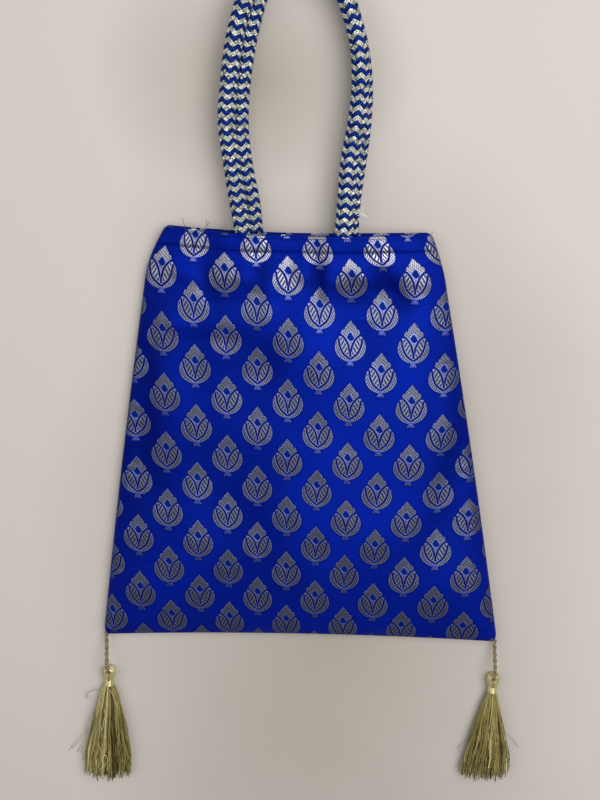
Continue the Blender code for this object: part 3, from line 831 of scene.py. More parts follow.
def evenPath(points, step):
    # The same path with points an even step apart
    lengths = [(b - a).length for a, b in zip(points, points[1:])]
    total = sum(lengths)
    count = max(int(round(total / step)), 1)
    made, k, walked = [], 0, 0.0
    for index in range(count + 1):
        want = total * index / count
        while k < len(lengths) - 1 and walked + lengths[k] < want:
            walked += lengths[k]
            k += 1
        made.append(points[k].lerp(points[k + 1], (want - walked) / lengths[k]))
    return made, total


def onPath(path, share):
    # The point at a share of the path's length, and the number of the point before it
    spot = share * (len(path) - 1)
    low = min(int(spot), len(path) - 2)
    return low, path[low].lerp(path[low + 1], spot - low)


def frames(points):
    # A forward, a sideways and an outward direction at each point of a flat-lying path
    made = []
    for k in range(len(points)):
        ahead = points[min(k + 1, len(points) - 1)] - points[max(k - 1, 0)]
        ahead.normalize()
        side = ahead.cross(Vector((0, 0, 1))).normalized()
        made.append((ahead, side, side.cross(ahead).normalized()))
    return made


def yarnTube(bm, flat, centres, sides, halfWidth, halfThick, count, slot=0):
    # A grid rolled up along the yarn
    grid = bmesh.ops.create_grid(
        bm, x_segments=len(centres) - 1, y_segments=count, size=1.0
    )["verts"]
    spots = {}
    for vert in grid:
        along = int(round((vert.co.x + 1) / 2 * (len(centres) - 1)))
        around = int(round((vert.co.y + 1) / 2 * count))
        spots[vert] = (along, around)
    walked = [0.0]
    for a, b in zip(centres, centres[1:]):
        walked.append(walked[-1] + (b - a).length)
    girth = 2 * pi * sqrt((halfWidth**2 + halfThick**2) / 2)
    for face in {face for vert in grid for face in vert.link_faces}:
        face.smooth = True
        face.material_index = slot
        for loop in face.loops:
            along, around = spots[loop.vert]
            loop[flat].uv = (girth * around / count, walked[along])
    for vert, (along, around) in spots.items():
        angle = 2 * pi * around / count
        side, out = sides[along]
        vert.co = centres[along] + side * halfWidth * cos(angle) + out * halfThick * sin(angle)


# Rope handles: sixteen yarns plaited two over two round a core
braid = {
    "carriers": 8,
    "lead": 0.0223,
    "yarnHalfWidth": 0.00118,
    "yarnHalfThick": 0.00080,
    "weaveDepth": 0.00068,
    "proud": 0.00012,
    "liftSteep": 1.6,
    "silverPlies": (-0.48, 0.48),
    "silverShare": 0.56,
    "blueShare": 0.98,
    "coreRadius": 0.0031,
    "coreSides": 10,
    "coreStep": 6,
    "pointsPerTurn": 30,
    "yarnSides": 6,
    "pathStep": 0.00045,
    "routeSteps": 6,
    "declaredPoints": 60,
    "intoHem": 0.0065,
    "frontMiddle": 0.01565,
    "backMiddle": 0.0040,
    "pressedBelow": 0.0040,
    "roundAbove": 0.0012,
    "pressedShare": 0.30,
    "bendStart": -0.003,
    "bendEnd": 0.022,
}
backLevel = rope["radius"] + bag["gap"]
frontLevel = 3 * rope["radius"] + 2 * bag["gap"]


def flattenInHem(bm, level, middle):
    # The ends are pressed flat between the cloth and the lining
    for vert in bm.verts:
        hem = across(vert.co.x, bag["height"]).y
        free = ramp(hem - braid["pressedBelow"], hem + braid["roundAbove"], vert.co.y)
        share = braid["pressedShare"] + (1 - braid["pressedShare"]) * free
        vert.co.z = middle + (vert.co.z - level) * share + (level - middle) * free


def braidLine(path, carried, turns, way, phase, beside):
    # One yarn's centres, with a sideways and an outward direction at each
    middle = rope["radius"] - braid["yarnHalfThick"] - braid["weaveDepth"] + braid["proud"]
    count = int(turns * braid["pointsPerTurn"])
    centres, sides = [], []
    for k in range(count + 1):
        low, here = onPath(path, k / count)
        ahead, side, out = carried[low]
        angle = way * (2 * pi * turns * (k / count)) + phase
        # Which yarn is on top changes every two crossings, in opposite step for the two ways
        lift = way * sin(angle * 4 + (pi / 4 if way > 0 else -pi / 4))
        lift = max(-1.0, min(1.0, braid["liftSteep"] * lift))
        radius = middle + braid["weaveDepth"] * lift
        radial = side * cos(angle) + out * sin(angle)
        tangent = (out * cos(angle) - side * sin(angle)) * way
        slant = tangent * (2 * pi * radius / braid["lead"]) + ahead
        slant.normalize()
        flatSide = radial.cross(slant).normalized()
        centres.append(here + radial * radius + flatSide * beside)
        sides.append((flatSide, radial))
    return centres, sides


def plaitYarns(bm, flat, path, carried, turns):
    half, thick = braid["yarnHalfWidth"], braid["yarnHalfThick"]
    for way in (1, -1):
        for carrier in range(braid["carriers"]):
            phase = 2 * pi * carrier / braid["carriers"]
            # A silver yarn is two thin ones side by side, a blue one is a single satin cord
            silver = carrier % 2
            width = half * (braid["silverShare"] if silver else braid["blueShare"])
            for beside in braid["silverPlies"] if silver else (0.0,):
                line = braidLine(path, carried, turns, way, phase, beside * half)
                yarnTube(bm, flat, *line, width, thick, braid["yarnSides"], silver)


def makeHandle(name, node, loop, level, middle, sagging):
    route = loopRoute(loop, level, sagging, braid["routeSteps"])
    intoHem = Vector((0, braid["intoHem"], 0))
    ends = [route[0] - intoHem, route[-1] - intoHem]
    path, total = evenPath([ends[0]] + route + [ends[1]], braid["pathStep"])
    carried = frames(path)
    bm = bmesh.new()
    flat = bm.loops.layers.uv.new("flat")
    plaitYarns(bm, flat, path, carried, total / braid["lead"])
    # A dark core, so that nothing shows between the yarns. The core is real, and its near-black
    # colour is painted shade in the gaps
    core, step = braid["coreRadius"], braid["coreStep"]
    middles = path[::step] + [path[-1]]
    sides = [carried[min(step * k, len(path) - 1)][1:] for k in range(len(middles))]
    yarnTube(bm, flat, middles, sides, core, core, braid["coreSides"], 2)
    bmesh.ops.remove_doubles(bm, verts=bm.verts[:], dist=1e-6)
    flattenInHem(bm, level, middle)
    made = pieceFrom(bm, name, [blueYarn, silverYarn, coreAndShadeYarn])
    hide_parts(node)
    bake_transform(made)
    print(name, "plaited", round(total, 4))


makeHandle(
    "front_rope_braid", "front_handle", frontLoop, frontLevel, braid["frontMiddle"], True
)
makeHandle(
    "back_rope_braid", "back_handle", backLoop, backLevel, braid["backMiddle"], False
)


# Tassel cords: two plies twisted together, over the head and down through its eye
tasselCord = {
    "radius": 0.0013,
    "drop": 0.0215,
    "slack": 0.0046,
    "bend": 0.0022,
    "headRadius": 0.00415,
    "bluntEnd": 0.9,
    "intoSeam": (0.0010, 0.0026),
    "offSurface": 0.0002,
    "runSteps": 14,
    "bendSteps": 8,
    "pathStep": 0.0004,
    "plyTurn": 0.0085,
    "pointsPerTurn": 14,
    "plySides": 6,
    "plyShare": 0.56,
    "plySpread": 0.46,
    "turnStart": 0.0015,
    "turnEnd": 0.0025,
}


def cordRoute(start, eye):
    bend = tasselCord["bend"]
    level = tasselCord["headRadius"] + bag["gap"]
    over = level + tasselCord["headRadius"] + 2 * bag["gap"] + tasselCord["radius"]
    bendStart = eye.y + bend
    route = []
    for step in range(tasselCord["runSteps"]):
        share = step / tasselCord["runSteps"]
        z = start.z + (over - start.z) * (1 - cos(pi * share)) / 2
        route.append(Vector((start.x, start.y + (bendStart - start.y) * share, z)))
    for step in range(tasselCord["bendSteps"] + 1):
        angle = pi / 2 * step / tasselCord["bendSteps"]
        route.append(Vector((eye.x, bendStart - bend * sin(angle), over - bend + bend * cos(angle))))
    route.append(Vector((eye.x, eye.y, tasselCord["radius"] + tasselCord["offSurface"])))
    return route


def twistPly(bm, flat, path, total, ply):
    # One of the two plies, wound round the other
    turns = total / tasselCord["plyTurn"]
    count = int(turns * tasselCord["pointsPerTurn"])
    centres, sides = [], []
    for k in range(count + 1):
        index, here = onPath(path, k / count)
        ahead = (path[index + 1] - path[index]).normalized()
        side = Vector((1, 0, 0))
        out = side.cross(ahead).normalized()
        angle = 2 * pi * turns * k / count + pi * ply
        radial = side * cos(angle) + out * sin(angle)
        centres.append(here + radial * tasselCord["radius"] * tasselCord["plySpread"])
        sides.append((side, out))
    thick = tasselCord["radius"] * tasselCord["plyShare"]
    yarnTube(bm, flat, centres, sides, thick, thick, tasselCord["plySides"])


def makeTasselCord(sideName):
    # The cord, and the place of the eye that it goes through
    node = f"{sideName}_tassel_cord"
    low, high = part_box(node)
    middle = (low[0] + high[0]) / 2
    top = high[1] - tasselCord["bluntEnd"] * tasselCord["radius"]
    start = Vector((middle, top, bag["seamRise"] + bag["cloth"] + bag["gap"] / 2))
    hinge = Vector((middle, top - tasselCord["drop"], 0))
    eye = hinge - Vector((0, tasselCord["slack"], 0))
    inward, up = tasselCord["intoSeam"]
    inSeam = start + Vector((inward if middle < 0 else -inward, up, 0))
    path, total = evenPath([inSeam] + cordRoute(start, eye), tasselCord["pathStep"])
    bm = bmesh.new()
    flat = bm.loops.layers.uv.new("flat")
    for ply in (0, 1):
        twistPly(bm, flat, path, total, ply)
    bmesh.ops.remove_doubles(bm, verts=bm.verts[:], dist=1e-6)
    bmesh.ops.holes_fill(bm, edges=bm.edges[:])
    made = pieceFrom(bm, f"{sideName}_twisted_cord", [tanYarn])
    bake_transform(made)
    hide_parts(node)
    return eye


eyes = {sideName: makeTasselCord(sideName) for sideName in ("left", "right")}
print("tassel cords twisted")


# Tassels: threads folded over the eye, bound at the neck and fanned out on the table
tassel = {
    "level": 0.00445,
    "lower": 0.0018,
    "eyeInner": 0.00125,
    "ringWide": 0.0039,
    "ringTall": 0.0031,
    "ringThick": 0.0033,
    "headStrands": 46,
    "headSteps": 26,
    "legShare": 0.25,
    "strandRadius": 0.00030,
    "neckRadius": 0.0023,
    "neckStart": -0.0072,
    "bindingStart": -0.0098,
    "bindingLength": 0.0040,
    "bindingTurns": 8,
    "bindingSteps": 18,
    "bindingProud": 0.00045,
    "bindingUneven": 0.00012,
    "bindingThread": 0.00034,
    "skirtStart": -0.0090,
    "skirtNarrow": 0.0024,
    "pinch": 0.16,
    "topBulge": 0.0074,
    "offSurface": 0.0002,
    "threads": 1000,
    "threadRadius": 0.00018,
    "locks": 64,
    "points": 14,
    "curlPoints": 18,
    "innerReach": 0.70,
    "darkTone": 0.68,
    "paleTone": 0.26,
}
# Threads that have sprung out: start, end, bow, size and number of curls, dye, thickness
onFloor = -tassel["level"] + 0.0004
leftLoose = [
    ((-0.0040, -0.0130, 0.001), (-0.0160, -0.0200, -0.002), -0.0015, 0.0005, 1.0, 0, 0.6),
    ((-0.0160, -0.0200, -0.002), (-0.0105, -0.0255, 0.000), 0.0012, 0.0004, 1.0, 0, 0.6),
    ((-0.0050, -0.0140, 0.001), (-0.0148, -0.0210, -0.002), -0.0022, 0.0005, 1.0, 0, 0.6),
    ((-0.0148, -0.0210, -0.002), (-0.0170, -0.0235, onFloor), 0.0010, 0.0004, 1.0, 0, 0.6),
    ((-0.0100, -0.0280, 0.001), (-0.0166, -0.0530, onFloor), -0.0026, 0.0006, 0.5, 1, 0.8),
    ((-0.0095, -0.0300, 0.001), (-0.0158, -0.0500, onFloor), -0.0018, 0.0004, 0.5, 0, 0.7),
    ((-0.0120, -0.0430, 0.001), (-0.0275, -0.0640, onFloor), -0.0014, 0.0006, 0.5, 0, 0.6),
    ((-0.0125, -0.0460, 0.001), (-0.0250, -0.0625, onFloor), -0.0010, 0.0005, 0.5, 0, 0.6),
    ((-0.0120, -0.0480, 0.001), (-0.0215, -0.0650, onFloor), -0.0014, 0.0005, 0.5, 0, 0.7),
    ((-0.0120, -0.0500, 0.000), (-0.0190, -0.0660, onFloor), -0.0010, 0.0005, 1.0, 1, 0.7),
    ((-0.0110, -0.0520, 0.000), (-0.0180, -0.0710, onFloor), -0.0010, 0.0005, 1.0, 0, 0.7),
    ((-0.0110, -0.0540, 0.000), (-0.0155, -0.0735, onFloor), 0.0010, 0.0006, 1.0, 1, 0.8),
    ((-0.0100, -0.0560, 0.000), (-0.0130, -0.0750, onFloor), 0.0010, 0.0006, 1.0, 0, 0.8),
    ((0.0010, -0.0120, 0.0030), (0.0062, -0.0290, 0.0030), 0.0012, 0.0005, 1.5, 1, 1.0),
    ((-0.0060, -0.0200, 0.0034), (-0.0070, -0.0310, 0.0050), 0.0010, 0.0008, 1.0, 1, 0.9),
    ((-0.0020, -0.0240, 0.0068), (-0.0050, -0.0400, 0.0078), 0.0022, 0.0010, 1.5, 1, 1.0),
    ((-0.0040, -0.0300, 0.0066), (-0.0030, -0.0380, 0.0078), -0.0015, 0.0008, 1.0, 1, 0.9),
    ((-0.0055, -0.0490, 0.0084), (0.0000, -0.0580, 0.0080), -0.0010, 0.0008, 1.0, 1, 1.1),
    ((0.0000, -0.0580, 0.0080), (-0.0020, -0.0680, 0.0072), 0.0014, 0.0008, 1.0, 1, 1.1),
    ((-0.0035, -0.0560, 0.0084), (-0.0070, -0.0700, 0.0066), 0.0016, 0.0006, 1.0, 1, 0.9),
    ((-0.0010, -0.0660, 0.0078), (-0.0045, -0.0745, 0.0050), -0.0014, 0.0010, 1.0, 1, 1.2),
    ((0.0080, -0.0400, 0.0020), (0.0120, -0.0500, 0.0000), 0.0010, 0.0005, 1.0, 1, 0.9),
]
rightLoose = [
    ((0.011, -0.040, 0.001), (0.0225, -0.0535, onFloor), 0.001, 0.0004, 1.0, 0, 0.6),
    ((0.000, -0.012, 0.0030), (-0.001, -0.042, 0.0072), 0.0005, 0.0003, 1.0, 1, 1.1),
    ((0.001, -0.048, 0.0082), (0.0005, -0.0610, 0.0088), 0.0005, 0.0003, 0.5, 1, 1.7),
    ((0.004, -0.056, 0.0078), (0.005, -0.0740, 0.0060), 0.001, 0.0006, 1.0, 1, 0.9),
    ((-0.011, -0.036, 0.001), (-0.0185, -0.0560, onFloor), 0.002, 0.0005, 1.0, 0, 0.7),
]
tasselSides = {
    "left": {
        "lean": radians(-4.0),
        "length": 0.0680,
        "wide": 0.0172,
        "bell": 0.66,
        "seed": 11,
        "loose": leftLoose,
    },
    "right": {
        "lean": radians(-3.0),
        "length": 0.0632,
        "wide": 0.0178,
        "bell": 0.84,
        "seed": 12,
        "loose": rightLoose,
    },
}


def threadCurve(name, radius, sides, materials):
    made = bpy.data.curves.new(name, "CURVE")
    made.dimensions = "3D"
    made.bevel_depth = radius
    made.bevel_resolution = sides
    made.use_fill_caps = True
    for material in materials:
        made.materials.append(material)
    return made


def addStrand(curve, points, slot=0, thin=1.0):
    # The curve has its materials already, because a strand's dye is lost without them
    strand = curve.splines.new("POLY")
    strand.points.add(len(points) - 1)
    for k, point in enumerate(points):
        strand.points[k].co = (*point, 1)
        strand.points[k].radius = thin
    strand.material_index = slot
    strand.use_smooth = True


def laidThreads(curve, seat=Vector((0, 0, 0)), lean=0.0):
    # The threads become one mesh, turned and moved to their place
    drawn = bpy.data.objects.new(curve.name, curve)
    bpy.context.scene.collection.objects.link(drawn)
    view = bpy.context.evaluated_depsgraph_get()
    mesh = bpy.data.meshes.new_from_object(drawn.evaluated_get(view))
    bpy.data.objects.remove(drawn)
    mesh.transform(Matrix.Translation(seat) @ Matrix.Rotation(lean, 4, "Z"))
    made = bpy.data.objects.new(curve.name, mesh)
    bpy.context.scene.collection.objects.link(made)
    return made


def headStrand(turn):
    # Up one leg, round the eye and down the other, on the bundle's outside
    layer, deep = (1 - cos(turn)) / 2, sin(turn)
    neck, opening = tassel["neckRadius"], tassel["eyeInner"]
    wide, tall, thick = tassel["ringWide"], tassel["ringTall"], tassel["ringThick"]
    steps, legShare = tassel["headSteps"], tassel["legShare"]
    points = []
    for step in range(steps + 1):
        share = step / steps
        if legShare <= share <= 1 - legShare:
            angle = pi - pi * (share - legShare) / (1 - 2 * legShare)
            x = (opening + (wide - opening) * layer) * cos(angle)
            y = (opening + (tall - opening) * layer) * sin(angle)
            points.append((x, y, thick * deep))
        else:
            leg = min(share, 1 - share) / legShare
            way = -1 if share < 0.5 else 1
            opened = ramp(0.0, 0.75, leg)
            outer = neck + (wide - neck) * opened
            inner = 0.1 * opening + 0.9 * opening * ramp(0.62, 1.0, leg)
            height = neck + (thick - neck) * opened
            x = way * (inner + (outer - inner) * layer)
            rounded = sqrt(max(1 - (abs(x) / (outer * 1.02)) ** 2, 0.0)) * (1 - opened) + opened
            points.append((x, tassel["neckStart"] * (1 - leg), height * deep * rounded))
    return points


def drawHead(curve, chance):
    count = tassel["headStrands"]
    for k in range(count):
        turn = 2 * pi * (k + 0.3 * chance.random()) / count
        addStrand(curve, headStrand(turn), 0, 0.9 + 0.25 * chance.random())


def drawBinding(curve):
    turns = tassel["bindingTurns"]
    steps = turns * tassel["bindingSteps"]
    points = []
    for step in range(steps + 1):
        share = step / steps
        angle = 2 * pi * turns * share
        uneven = tassel["bindingUneven"] * sin(3.1 * pi * share)
        radius = tassel["neckRadius"] + tassel["bindingProud"] + uneven
        y = tassel["bindingStart"] + tassel["bindingLength"] * share
        points.append((radius * cos(angle), y, radius * sin(angle)))
    addStrand(curve, points)


def skirtPoint(px, pz, share, side):
    # px and pz run from -1 to 1 over the bundle's cross-section, which swells out like a bell
    narrow = tassel["skirtNarrow"]
    bell = min(share, 1.0) ** side["bell"] * (1 - tassel["pinch"] * ramp(0.70, 1.0, share))
    half = narrow + (side["wide"] - narrow) * bell
    above = narrow + (tassel["topBulge"] - narrow) * ramp(0.0, 0.55, share)
    floor = tassel["level"] - tassel["threadRadius"] - tassel["offSurface"]
    below = min(floor, narrow + (floor - narrow) * ramp(0, 0.3, share))
    z = pz * (above if pz > 0 else below)
    return Vector((px * half, tassel["skirtStart"] - side["length"] * share, z))


def drawLocks(chance):
    # The threads hang together in locks, each with its own place, wave, length and tone
    locks = []
    for k in range(tassel["locks"]):
        turn = 2 * pi * k / tassel["locks"] + 0.1 * chance.random()
        reach = 0.55 + 0.45 * chance.random()
        lock = {"x": reach * cos(turn), "z": reach * sin(turn)}
        lock["phase"] = 2 * pi * chance.random()
        lock["wave"] = 0.0004 + 0.0011 * chance.random()
        lock["length"] = 0.90 + 0.12 * chance.random()
        lock["tone"] = chance.random()
        locks.append(lock)
    return locks


def drawThread(curve, side, locks, chance):
    turn = 2 * pi * chance.random()
    reach = chance.random() ** 0.38
    px, pz = reach * cos(turn), reach * sin(turn)
    lock = min(locks, key=lambda place: (place["x"] - px) ** 2 + (place["z"] - pz) ** 2)
    pull = 0.35 + 0.55 * chance.random()
    length = min(lock["length"] * (0.90 + 0.14 * chance.random()), 1.03)
    if chance.random() < 0.10:
        length *= 0.72 + 0.25 * chance.random()
    drift = chance.gauss(0, 0.09)
    phase, wave = 2 * pi * chance.random(), 0.0003 + 0.0016 * chance.random() ** 3
    points = []
    for step in range(tassel["points"] + 1):
        share = step / tassel["points"] * length
        towards = pull * ramp(0.1, 0.8, share)
        x = px + (lock["x"] - px) * towards + drift * share
        z = pz + (lock["z"] - pz) * towards
        if x * x + z * z > 1:
            x, z = x / hypot(x, z), z / hypot(x, z)
        point = skirtPoint(x, z, share, side)
        point.x += wave * sin(phase + 11 * share) * share
        point.x += lock["wave"] * sin(lock["phase"] + 6 * share) * share
        points.append(point)
    # Painted shade: threads deep in the bundle take the dark dye. The rest take the dark, the pale
    # or the mid dye by their tone
    tone = 0.55 * lock["tone"] + 0.45 * chance.random()
    inside = reach < tassel["innerReach"] or tone > tassel["darkTone"]
    slot = 2 if inside else 1 if tone < tassel["paleTone"] else 0
    addStrand(curve, points, slot, 0.65 + 0.8 * chance.random())


def curl(start, end, bow, curlSize, turns):
    # A thread that has sprung out of the bundle, over the surface from start to end
    made = []
    start, end = Vector(start), Vector(end)
    side = Vector((-(end - start).y, (end - start).x, 0)).normalized()
    for k in range(tassel["curlPoints"] + 1):
        share = k / tassel["curlPoints"]
        place = start.lerp(end, share) + side * bow * sin(pi * share)
        made.append(place + side * curlSize * share * sin(2 * pi * turns * share))
    return made


def makeTassel(sideName):
    side = tasselSides[sideName]
    chance = random.Random(side["seed"])
    eye = eyes[sideName]
    seat = Vector((eye.x, eye.y - tassel["lower"], tassel["level"]))
    gold = [dyed["goldStrand"]]
    head = threadCurve(f"{sideName}_tassel_crown", tassel["strandRadius"], 1, gold)
    drawHead(head, chance)
    binding = threadCurve(f"{sideName}_neck_binding", tassel["bindingThread"], 1, gold)
    drawBinding(binding)
    dyes = [dyed["tasselThread"], dyed["paleStrand"], dyed["shadeAndDarkThread"]]
    skirt = threadCurve(f"{sideName}_tassel_threads", tassel["threadRadius"], 0, dyes)
    locks = drawLocks(chance)
    for k in range(tassel["threads"]):
        drawThread(skirt, side, locks, chance)
    for start, end, bow, curlSize, turns, slot, thin in side["loose"]:
        addStrand(skirt, curl(start, end, bow, curlSize, turns), slot, thin)
    parts = [
        (head, "head", "gold_thread"),
        (binding, "binding", "gold_thread"),
        (skirt, "skirt", "tassel_thread"),
    ]
    for curve, part, slot in parts:
        made = laidThreads(curve, seat, side["lean"])
        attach(made, f"{sideName}_tassel")
        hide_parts(f"{sideName}_tassel_{part}")


makeTassel("left")
makeTassel("right")
print("tassels tied")


# Cloth
cloth = {
    "wallShare": 0.9,
    "crowding": 1.5,
    "seamRoll": 0.0016,
    "seamFlat": 0.012,
    "waviness": 0.00042,
    "swayHeight": 0.0013,
    "seamPucker": 0.00035,
    "puckerPitch": 0.0085,
    "puckerSpan": (0.002, 0.014),
    "hemWave": 0.00035,
    "hemWaveSpan": (0.022, 0.008),
    "edgeRoll": 0.0021,
    "edgeDip": 0.0011,
    "edgeStitch": 0.0024,
    "edgeGroove": 0.00042,
    "edgeGrooveStitch": 0.00008,
    "edgeGrooveWidth": 0.0005,
    "bandBulge": 0.00018,
    "hemStitch": 0.0098,
    "grooveDepth": 0.0006,
    "grooveWidth": 0.0006,
    "stitchPitch": 0.0030,
    # Fold depth that gives the full painted shade or light in the satin's colour
    "paintedShadeDepth": 0.0040,
    "puffTop": 0.0180,
    "puffFall": 0.0080,
    "puffSlant": 0.28,
}
# Soft folds of the front: x, t, half length, half width, height, lean in degrees
creases = [
    (0.0125, 0.2340, 0.014, 0.0046, -0.0028, 2),
    (-0.0200, 0.2330, 0.014, 0.0058, -0.0030, 12),
    (0.0540, 0.2290, 0.017, 0.0062, -0.0036, -42),
    (-0.0500, 0.2290, 0.012, 0.0060, -0.0018, -15),
    (0.0380, 0.2110, 0.009, 0.0030, 0.0008, 100),
    (-0.046, 0.1965, 0.018, 0.0070, -0.0015, 92),
    (-0.068, 0.2060, 0.012, 0.0052, 0.0014, 96),
    (-0.018, 0.2180, 0.020, 0.0090, 0.0014, -8),
    (0.010, 0.2000, 0.022, 0.0130, 0.0018, 10),
    (-0.014, 0.1850, 0.026, 0.0100, -0.0014, 25),
    (0.068, 0.1880, 0.036, 0.0110, 0.0015, 10),
    (0.046, 0.1760, 0.030, 0.0100, -0.0011, -12),
    (-0.072, 0.1650, 0.034, 0.0110, 0.0014, -10),
    (-0.088, 0.1200, 0.050, 0.0100, -0.0014, -12),
    (0.090, 0.1100, 0.050, 0.0100, -0.0014, 12),
    (0.030, 0.1200, 0.060, 0.0200, 0.0015, 20),
    (-0.030, 0.0900, 0.060, 0.0200, -0.0014, -30),
    (0.060, 0.0550, 0.040, 0.0160, -0.0011, 40),
    (-0.080, 0.0450, 0.034, 0.0140, 0.0011, 35),
    (0.000, 0.0400, 0.020, 0.0500, -0.0011, 0),
    (-0.0960, 0.1500, 0.090, 0.0110, -0.0022, 10),
    (0.0300, 0.0650, 0.070, 0.0500, 0.0018, 0),
]
# Full places under the hem: x, half width, height, how far below the edge each ends
puffs = [
    (-0.0660, 0.0130, 0.0015, 0.0265),
    (-0.0250, 0.0100, 0.0013, 0.0300),
    (0.0045, 0.0055, 0.0012, 0.0260),
    (0.0210, 0.0055, 0.0012, 0.0280),
    (0.0440, 0.0140, 0.0021, 0.0275),
    (0.0740, 0.0090, 0.0008, 0.0300),
]
# How the woven pattern lies on the front, cut a little off the thread. From shift to alongCube,
# each pair says how many millimetres it drifts across and along, a decimetre from the middle.
drift = {
    "middle": 0.13,
    "reach": 0.1,
    "most": (1.15, 1.05),
    "shift": (0.57, -0.31),
    "across": (-1.43, -0.59),
    "along": (0.04, 0.82),
    "acrossSquare": (0.72, 0.98),
    "twist": (0.60, 0.57),
    "alongSquare": (-0.15, -0.43),
    "acrossCube": (3.00, 1.26),
    "bow": (-0.68, -0.73),
    "flare": (0.16, -0.23),
    "alongCube": (-0.31, 1.05),
    "hemSpan": (0.238, 0.2535),
    "hemMiddle": 0.015,
    "hemReach": 0.038,
    "hemWide": (2.2, 2.3),
    "hemHigh": 1.6,
}


def woven(x, t):
    # The point of the woven pattern that lies at x, t of the front
    mostAcross, mostAlong = drift["most"]
    a = min(max(x / drift["reach"], -mostAcross), mostAcross)
    b = min((t - drift["middle"]) / drift["reach"], mostAlong)
    terms = {
        "shift": 1,
        "across": a,
        "along": b,
        "acrossSquare": a * a,
        "twist": a * b,
        "alongSquare": b * b,
        "acrossCube": a**3,
        "bow": a * a * b,
        "flare": a * b * b,
        "alongCube": b**3,
    }
    wide = sum(drift[way][0] * term for way, term in terms.items())
    high = sum(drift[way][1] * term for way, term in terms.items())
    # The hem's stitching has eased the cloth in
    nearHem = ramp(*drift["hemSpan"], t)
    base, more = drift["hemWide"]
    wide -= nearHem * (base + more * tanh((x - drift["hemMiddle"]) / drift["hemReach"]))
    high -= nearHem * drift["hemHigh"]
    return (x - wide / 1000, t - high / 1000)


def foldHeight(x, t):
    total = 0.0
    for cx, ct, long, wide, height, lean in creases:
        angle = radians(lean)
        dx, dt = x - cx, t - ct
        along = dx * sin(angle) + dt * cos(angle)
        beside = dx * cos(angle) - dt * sin(angle)
        total += height * exp(-((along / long) ** 2) - (beside / wide) ** 2)
    return total


def edgeShare(x, t):
    # 0 at the seams, 1 away from them
    toSide = sideHalfWidth(t) - abs(x)
    return min(ramp(0, cloth["seamFlat"], toSide), ramp(0, cloth["seamFlat"], t))


def pucker(along, toSeam, shift):
    # Short waves beside a seam, where its thread draws the cloth together
    near = 1 - ramp(*cloth["puckerSpan"], toSeam)
    return near * cloth["seamPucker"] * sin(2 * pi * along / cloth["puckerPitch"] + shift)


def clothWave(x, t):
    # The numbers beside x and t say how many waves there are to a metre
    wave = noise.noise(Vector((x * 42, t * 30, 0.3))) * cloth["waviness"] * 2
    wave += noise.noise(Vector((x * 19, t * 23, 7.7))) * cloth["swayHeight"] * 2
    wave += pucker(t, sideHalfWidth(t) - abs(x), 9 * noise.noise(Vector((t * 60, x, 0))))
    wave += pucker(x, t, 9 * noise.noise(Vector((x * 60, t, 5))))
    start, end = cloth["hemWaveSpan"]
    nearHem = ramp(bag["height"] - start, bag["height"] - end, t)
    wave += nearHem * cloth["hemWave"] * noise.noise(Vector((x * 110, 3.1, t * 20))) * 2
    return wave


def puffed(x, fromTop):
    # Each full place rises from the stitches and drops again along a line that slants down
    total = 0.0
    for middle, wide, height, end in puffs:
        share = exp(-(((x - middle) / wide) ** 2))
        stop = end + cloth["puffSlant"] * (x - middle)
        rise = ramp(cloth["hemStitch"], min(cloth["puffTop"], stop), fromTop)
        fall = 1 - ramp(stop - cloth["puffFall"] / 2, stop + cloth["puffFall"] / 2, fromTop)
        total += height * share * rise * fall
    return total


def bell(distance, width):
    return exp(-((distance / width) ** 2))


def hemShape(x, t):
    # Rolled edge, its stitching, the doubled band, the hem's stitch line and the puffs below it
    fromTop = bag["height"] - t
    if fromTop > 0.05:
        return 0.0
    shape = 0.0
    if fromTop < cloth["edgeRoll"]:
        inward = 1 - fromTop / cloth["edgeRoll"]
        shape -= cloth["edgeDip"] * (1 - sqrt(max(1 - inward**2, 0.0)))
    stitches = sin(2 * pi * x / cloth["stitchPitch"])
    groove = cloth["edgeGroove"] + cloth["edgeGrooveStitch"] * stitches
    shape -= groove * bell(fromTop - cloth["edgeStitch"], cloth["edgeGrooveWidth"])
    band = (fromTop - cloth["edgeStitch"]) / (cloth["hemStitch"] - cloth["edgeStitch"])
    if 0 < band < 1:
        lumpy = 1 + 1.6 * noise.noise(Vector((x * 95, 0.4, 1.0)))
        shape += cloth["bandBulge"] * lumpy * sin(pi * band)
    tight = 0.85 + 0.5 * noise.noise(Vector((x * 70, 9.0, 0.0))) + 0.12 * stitches
    groove = bell(fromTop - cloth["hemStitch"], cloth["grooveWidth"])
    shape -= cloth["grooveDepth"] * tight * groove
    return shape + puffed(x, fromTop)


def rolled(x, t, z):
    # The cloth turns over into the seam at the sides and the bottom
    seam = bag["seamRise"] + bag["cloth"] + bag["gap"] / 2
    toSide = (sideHalfWidth(t) if t > bag["cornerRadius"] else rowHalfWidth(t)) - abs(x)
    distance = max(min(toSide, t), 0.0)
    share = min(distance / cloth["seamRoll"], 1.0)
    return seam + (z - seam) * sqrt(1 - (1 - share) ** 2)


def frontFace(x, t):
    inner = edgeShare(x, t)
    folds = inner * (foldHeight(x, t) + clothWave(x, t))
    return rolled(x, t, frontOuter(x, t) + folds + min(inner * 2, 1) * hemShape(x, t))


def backFace(x, t):
    return rolled(x, t, backOuter(x, t))


def frontLinerFace(x, t):
    # The lining follows the cloth where that dips
    return min(frontLiningHigh(x, t), frontFace(x, t) - bag["cloth"] - bag["gap"])


def crowded(share):
    # -1 to 1, with more lines near the two ends
    sign = 1 if share > 0 else -1
    return sign * (1 - (1 - abs(share)) ** cloth["crowding"])


